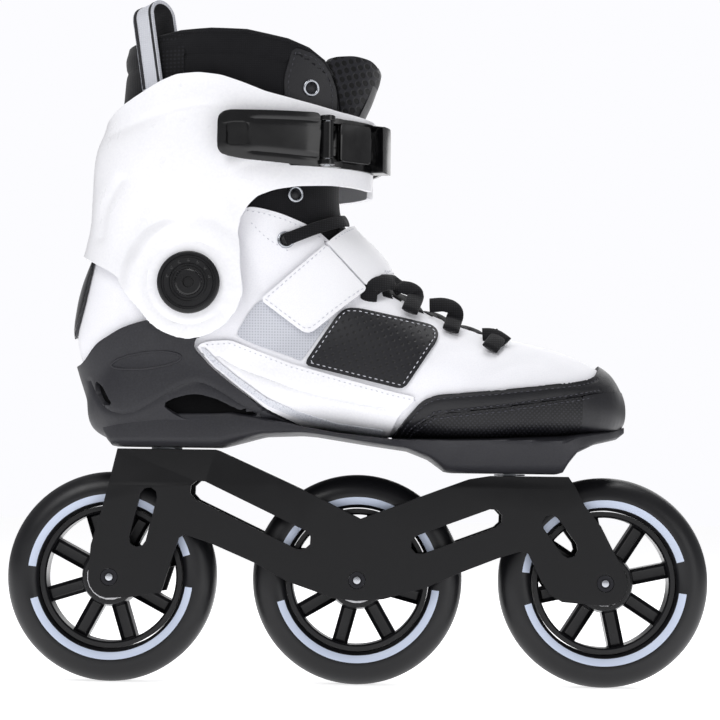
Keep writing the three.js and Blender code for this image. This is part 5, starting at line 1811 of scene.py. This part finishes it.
# ------------------------------------------------------------------ laces
@dataclass
class Laces(BootPart):
    """Flat laces: crossings over the tongue, a bow hanging to the outer side, and their eyelets."""

    width: float = 4.0
    flat: float = 0.27

    def build(self) -> None:
        """Makes the laces and the eyelets."""
        bow = (
            ([(0, 69), (5, 75.5), (12, 78), (19, 75)], 2.0, 3.2),
            ([(16, 76.5), (22, 74.5), (24.5, 70), (22, 62)], 3.4, 2.6),
            ([(32, 69), (38, 70.5), (43, 67), (44, 61), (42, 54)], 2.2, 3.4),
            ([(57.5, 52.8), (63, 51.5), (68.5, 49)], 1.6, 1.8),
            ([(66, 53.5), (64, 49.5), (60.5, 45.5)], 2.2, 1.2),
        )
        strands = [self.ribbon(points, offset, rise) for points, offset, rise in bow]
        for x, reach in ((2, 24), (17, 21), (32, 18), (47, 15)):
            for side in (-1, 1):
                shares = np.linspace(0, 1, 14)
                run = [
                    self.over(
                        x + 11 * t, side * reach * (1 - 2 * t),
                        -0.8 + 0.9 * math.sin(math.pi * t) * (side > 0)
                    ) for t in shares
                ]
                strands.append(self.strand(run))
        self.put("lace_set", joined(strands), LACE, "chassis", stands_for=["laces"])
        ends = even([(-35.8, 96.2), (-28, 99.6), (-20, 103.2), (-9, 108)], 2)
        run = [self.last.on_side(x, z, 2.0, -1) for x, z in ends]
        self.put(
            "upper_lace", tube([p for p, _ in run], 3.0, 0.3, 12, [out for _, out in run]), LACE, "chassis"
        )
        for label, x, z, offset, body in (
            ("top", -24.4, 168.3, 0.9, "cuff"), ("middle", -31, 118.8, 0.0, "cuff"), (
                "low", -35.1, 96.8, 0.3, "chassis"
            )
        ):
            for side, place in SIDES:
                spot, normal = self.last.on_side(x, z, offset, side)
                facing = Vector((0, 1, 0)).rotation_difference(normal).to_matrix().to_4x4()
                turn = Matrix.Translation(spot) @ facing
                ring = turned(
                    [(2.7, -0.5), (4.1, -0.5), (4.1, 0.1), (3.7, 0.6), (3.2, 0.7), (2.7, 0.3)], 32
                )
                ring.transform(turn)
                self.put(f"eyelet_{label}_{place}", ring, EYELET, body)
                hole = turned([(0, -0.3), (2.8, -0.3), (2.8, 0.05), (0, 0.05)], 24)
                hole.transform(turn)
                self.put(f"eyelet_hole_{label}_{place}", hole, BLACK_LEATHER, body)

    def strand(self, run: Sequence[tuple[Vector, Vector]]) -> bmesh.types.BMesh:
        """A flat lace along a run of places, lying with its face to the outward directions."""
        return tube([place for place, _ in run], self.width, self.flat, 12, [out for _, out in run])

    def over(self, x: float, y: float, offset: float) -> tuple[Vector, Vector]:
        """A place on top of the boot at an x and a y, and its outward direction."""
        hit, normal, _, _ = self.last.finder.ray_cast(
            Vector((x, y, 88 if x > 12 else 96)), Vector((0, 0, -1))
        )
        if hit is None:
            hit, normal, _, _ = self.last.finder.find_nearest(Vector((x, y, 80)))
        return hit + normal * offset, normal

    def ribbon(self, points: Sequence[Point], offset: float, rise: float) -> bmesh.types.BMesh:
        """A lace over the boot's outer shoulder along a run in side view, arched by a rise."""
        run = even(rounded(points, 5, False), 1.5)
        made = []
        for i, (x, z) in enumerate(run):
            base, normal = self.last.on_side(x, min(z, self.ridge(x) - 3), 0, -1)
            out = (normal * 0.6 + Vector((0, -0.8, 0))).normalized()
            arch = rise * math.sin(math.pi * i / (len(run) - 1))
            made.append(
                (base + normal * (offset + arch * 0.7) + Vector((0, 0, max(0, z - base.z) * 0.5)), out)
            )
        return self.strand(made)

    def ridge(self, x: float) -> float:
        """The boot's top line at an x."""
        return self.over(x, -6.0, 0.0)[0].z


# ------------------------------------------------------------------ studio
@dataclass
class Studio:
    """Camera, floor and soft lights."""

    place: tuple = (12.13, -1183.58, 87.81)
    yaw: float = -0.591
    pitch: float = 3.269
    roll: float = 0.757
    lens: float = 122.83

    def camera(self) -> None:
        """Places the camera low and level with the ankle, on the outer side of the foot."""
        yaw, pitch, roll = (math.radians(a) for a in (self.yaw, self.pitch, self.roll))
        ahead = Vector((math.sin(yaw), math.cos(yaw), 0))
        right = Vector((math.cos(yaw), -math.sin(yaw), 0))
        above = Vector((0, 0, 1))
        look = ahead * math.cos(pitch) + above * math.sin(pitch)
        up = above * math.cos(pitch) - ahead * math.sin(pitch)
        turned_right = right * math.cos(roll) + up * math.sin(roll)
        turned_up = up * math.cos(roll) - right * math.sin(roll)
        data = bpy.data.cameras.new("camera")
        data.lens, data.sensor_width = self.lens, 36.0
        data.clip_start, data.clip_end = 0.05, 30.0
        camera = bpy.data.objects.new("camera", data)
        turn = Matrix((turned_right, turned_up, -look)).transposed().to_4x4()
        camera.matrix_world = Matrix.Translation(Vector(self.place) * MM) @ turn
        bpy.context.scene.collection.objects.link(camera)
        bpy.context.scene.camera = camera

    def floor(self) -> None:
        """A pale floor, wide enough for every view."""
        bm = bmesh.new()
        bmesh.ops.create_grid(bm, x_segments=2, y_segments=2, size=9)
        mesh = bpy.data.meshes.new("floor")
        bm.to_mesh(mesh)
        bm.free()
        thing = bpy.data.objects.new("floor", mesh)
        bpy.context.scene.collection.objects.link(thing)
        material = bpy.data.materials.new("floor_paper")
        material.use_nodes = True
        shader = material.node_tree.nodes["Principled BSDF"]
        shader.inputs["Base Color"].default_value = linear("#F6F6F8")
        shader.inputs["Roughness"].default_value = 0.6
        shader.inputs["Emission Color"].default_value = linear("#FFFFFF")
        shader.inputs["Emission Strength"].default_value = 0.7
        mesh.materials.append(material)
        thing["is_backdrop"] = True

    def lights(self) -> None:
        """Large soft lights in front, above and behind, and a pale surround."""
        for name, place, size, watts in (
            ("key", (-0.9, -1.3, 1.5), 1.0, 14), ("fill", (1.4, -1.4, 0.5), 1.0, 4),
            ("top", (0.1, 0.2, 1.6), 1.0, 10.5), ("back", (0.5, 1.5, 0.9), 1.2, 7),
        ):
            data = bpy.data.lights.new(name, "AREA")
            data.size, data.energy = size, watts
            lamp = bpy.data.objects.new(name, data)
            lamp.location = place
            lamp.rotation_euler = (Vector((0, 0, 0.15)) - Vector(place)).to_track_quat("-Z", "Y").to_euler()
            bpy.context.scene.collection.objects.link(lamp)
        world = bpy.data.worlds.new("surround")
        bpy.context.scene.world = world
        world.use_nodes = True
        tree = world.node_tree
        tree.nodes.clear()
        seen = add(tree, "LightPath").outputs["Is Camera Ray"]
        strength = add(tree, "MapRange", Value=seen, To_Min=0.3, To_Max=1.0).outputs[0]
        surround = add(tree, "Background", Color=linear("#FCFCFF"), Strength=strength)
        add(tree, "OutputWorld", Surface=surround.outputs[0])
        bpy.context.scene.view_settings.view_transform = "Standard"


def dress_hidden(frame: dict) -> None:
    """Gives the small hard parts that keep their frame shape their finishes."""
    finishes = {"bearing": STEEL, "spacer": ALLOY, "threaded_insert": BOLT}
    for name, node in frame["nodes"].items():
        for start, finish in finishes.items():
            if name.startswith(start):
                node.data.materials.clear()
                node.data.materials.append(finish.material())


def corners(bounds: tuple[Vector, Vector]) -> list[list[float]]:
    """Two corners as plain lists."""
    return [list(corner) for corner in bounds]


def main() -> None:
    """Builds the skate in order, from the frame out."""
    logging.basicConfig(level=logging.INFO, format="%(message)s")
    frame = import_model()
    before = corners(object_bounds())
    studio = Studio()
    studio.camera()
    studio.floor()
    studio.lights()
    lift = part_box("threaded_insert_rear")[0].z / MM - 0.1
    axles = {end: sum(c.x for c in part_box("tyre_" + end)) / 2 / MM for end in ("rear", "middle", "front")}
    last = Last()
    Wheels(axles).build()
    Chassis().build()
    Sole(last, lift).build()
    Upper(last, lift).build()
    Liner(last, lift).build()
    Cuff(last, lift).build()
    Buckle(last, lift).build()
    Laces(last, lift).build()
    dress_hidden(frame)
    {"frame": before, "dressed": corners(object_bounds())}


if __name__ == "__main__":
    main()
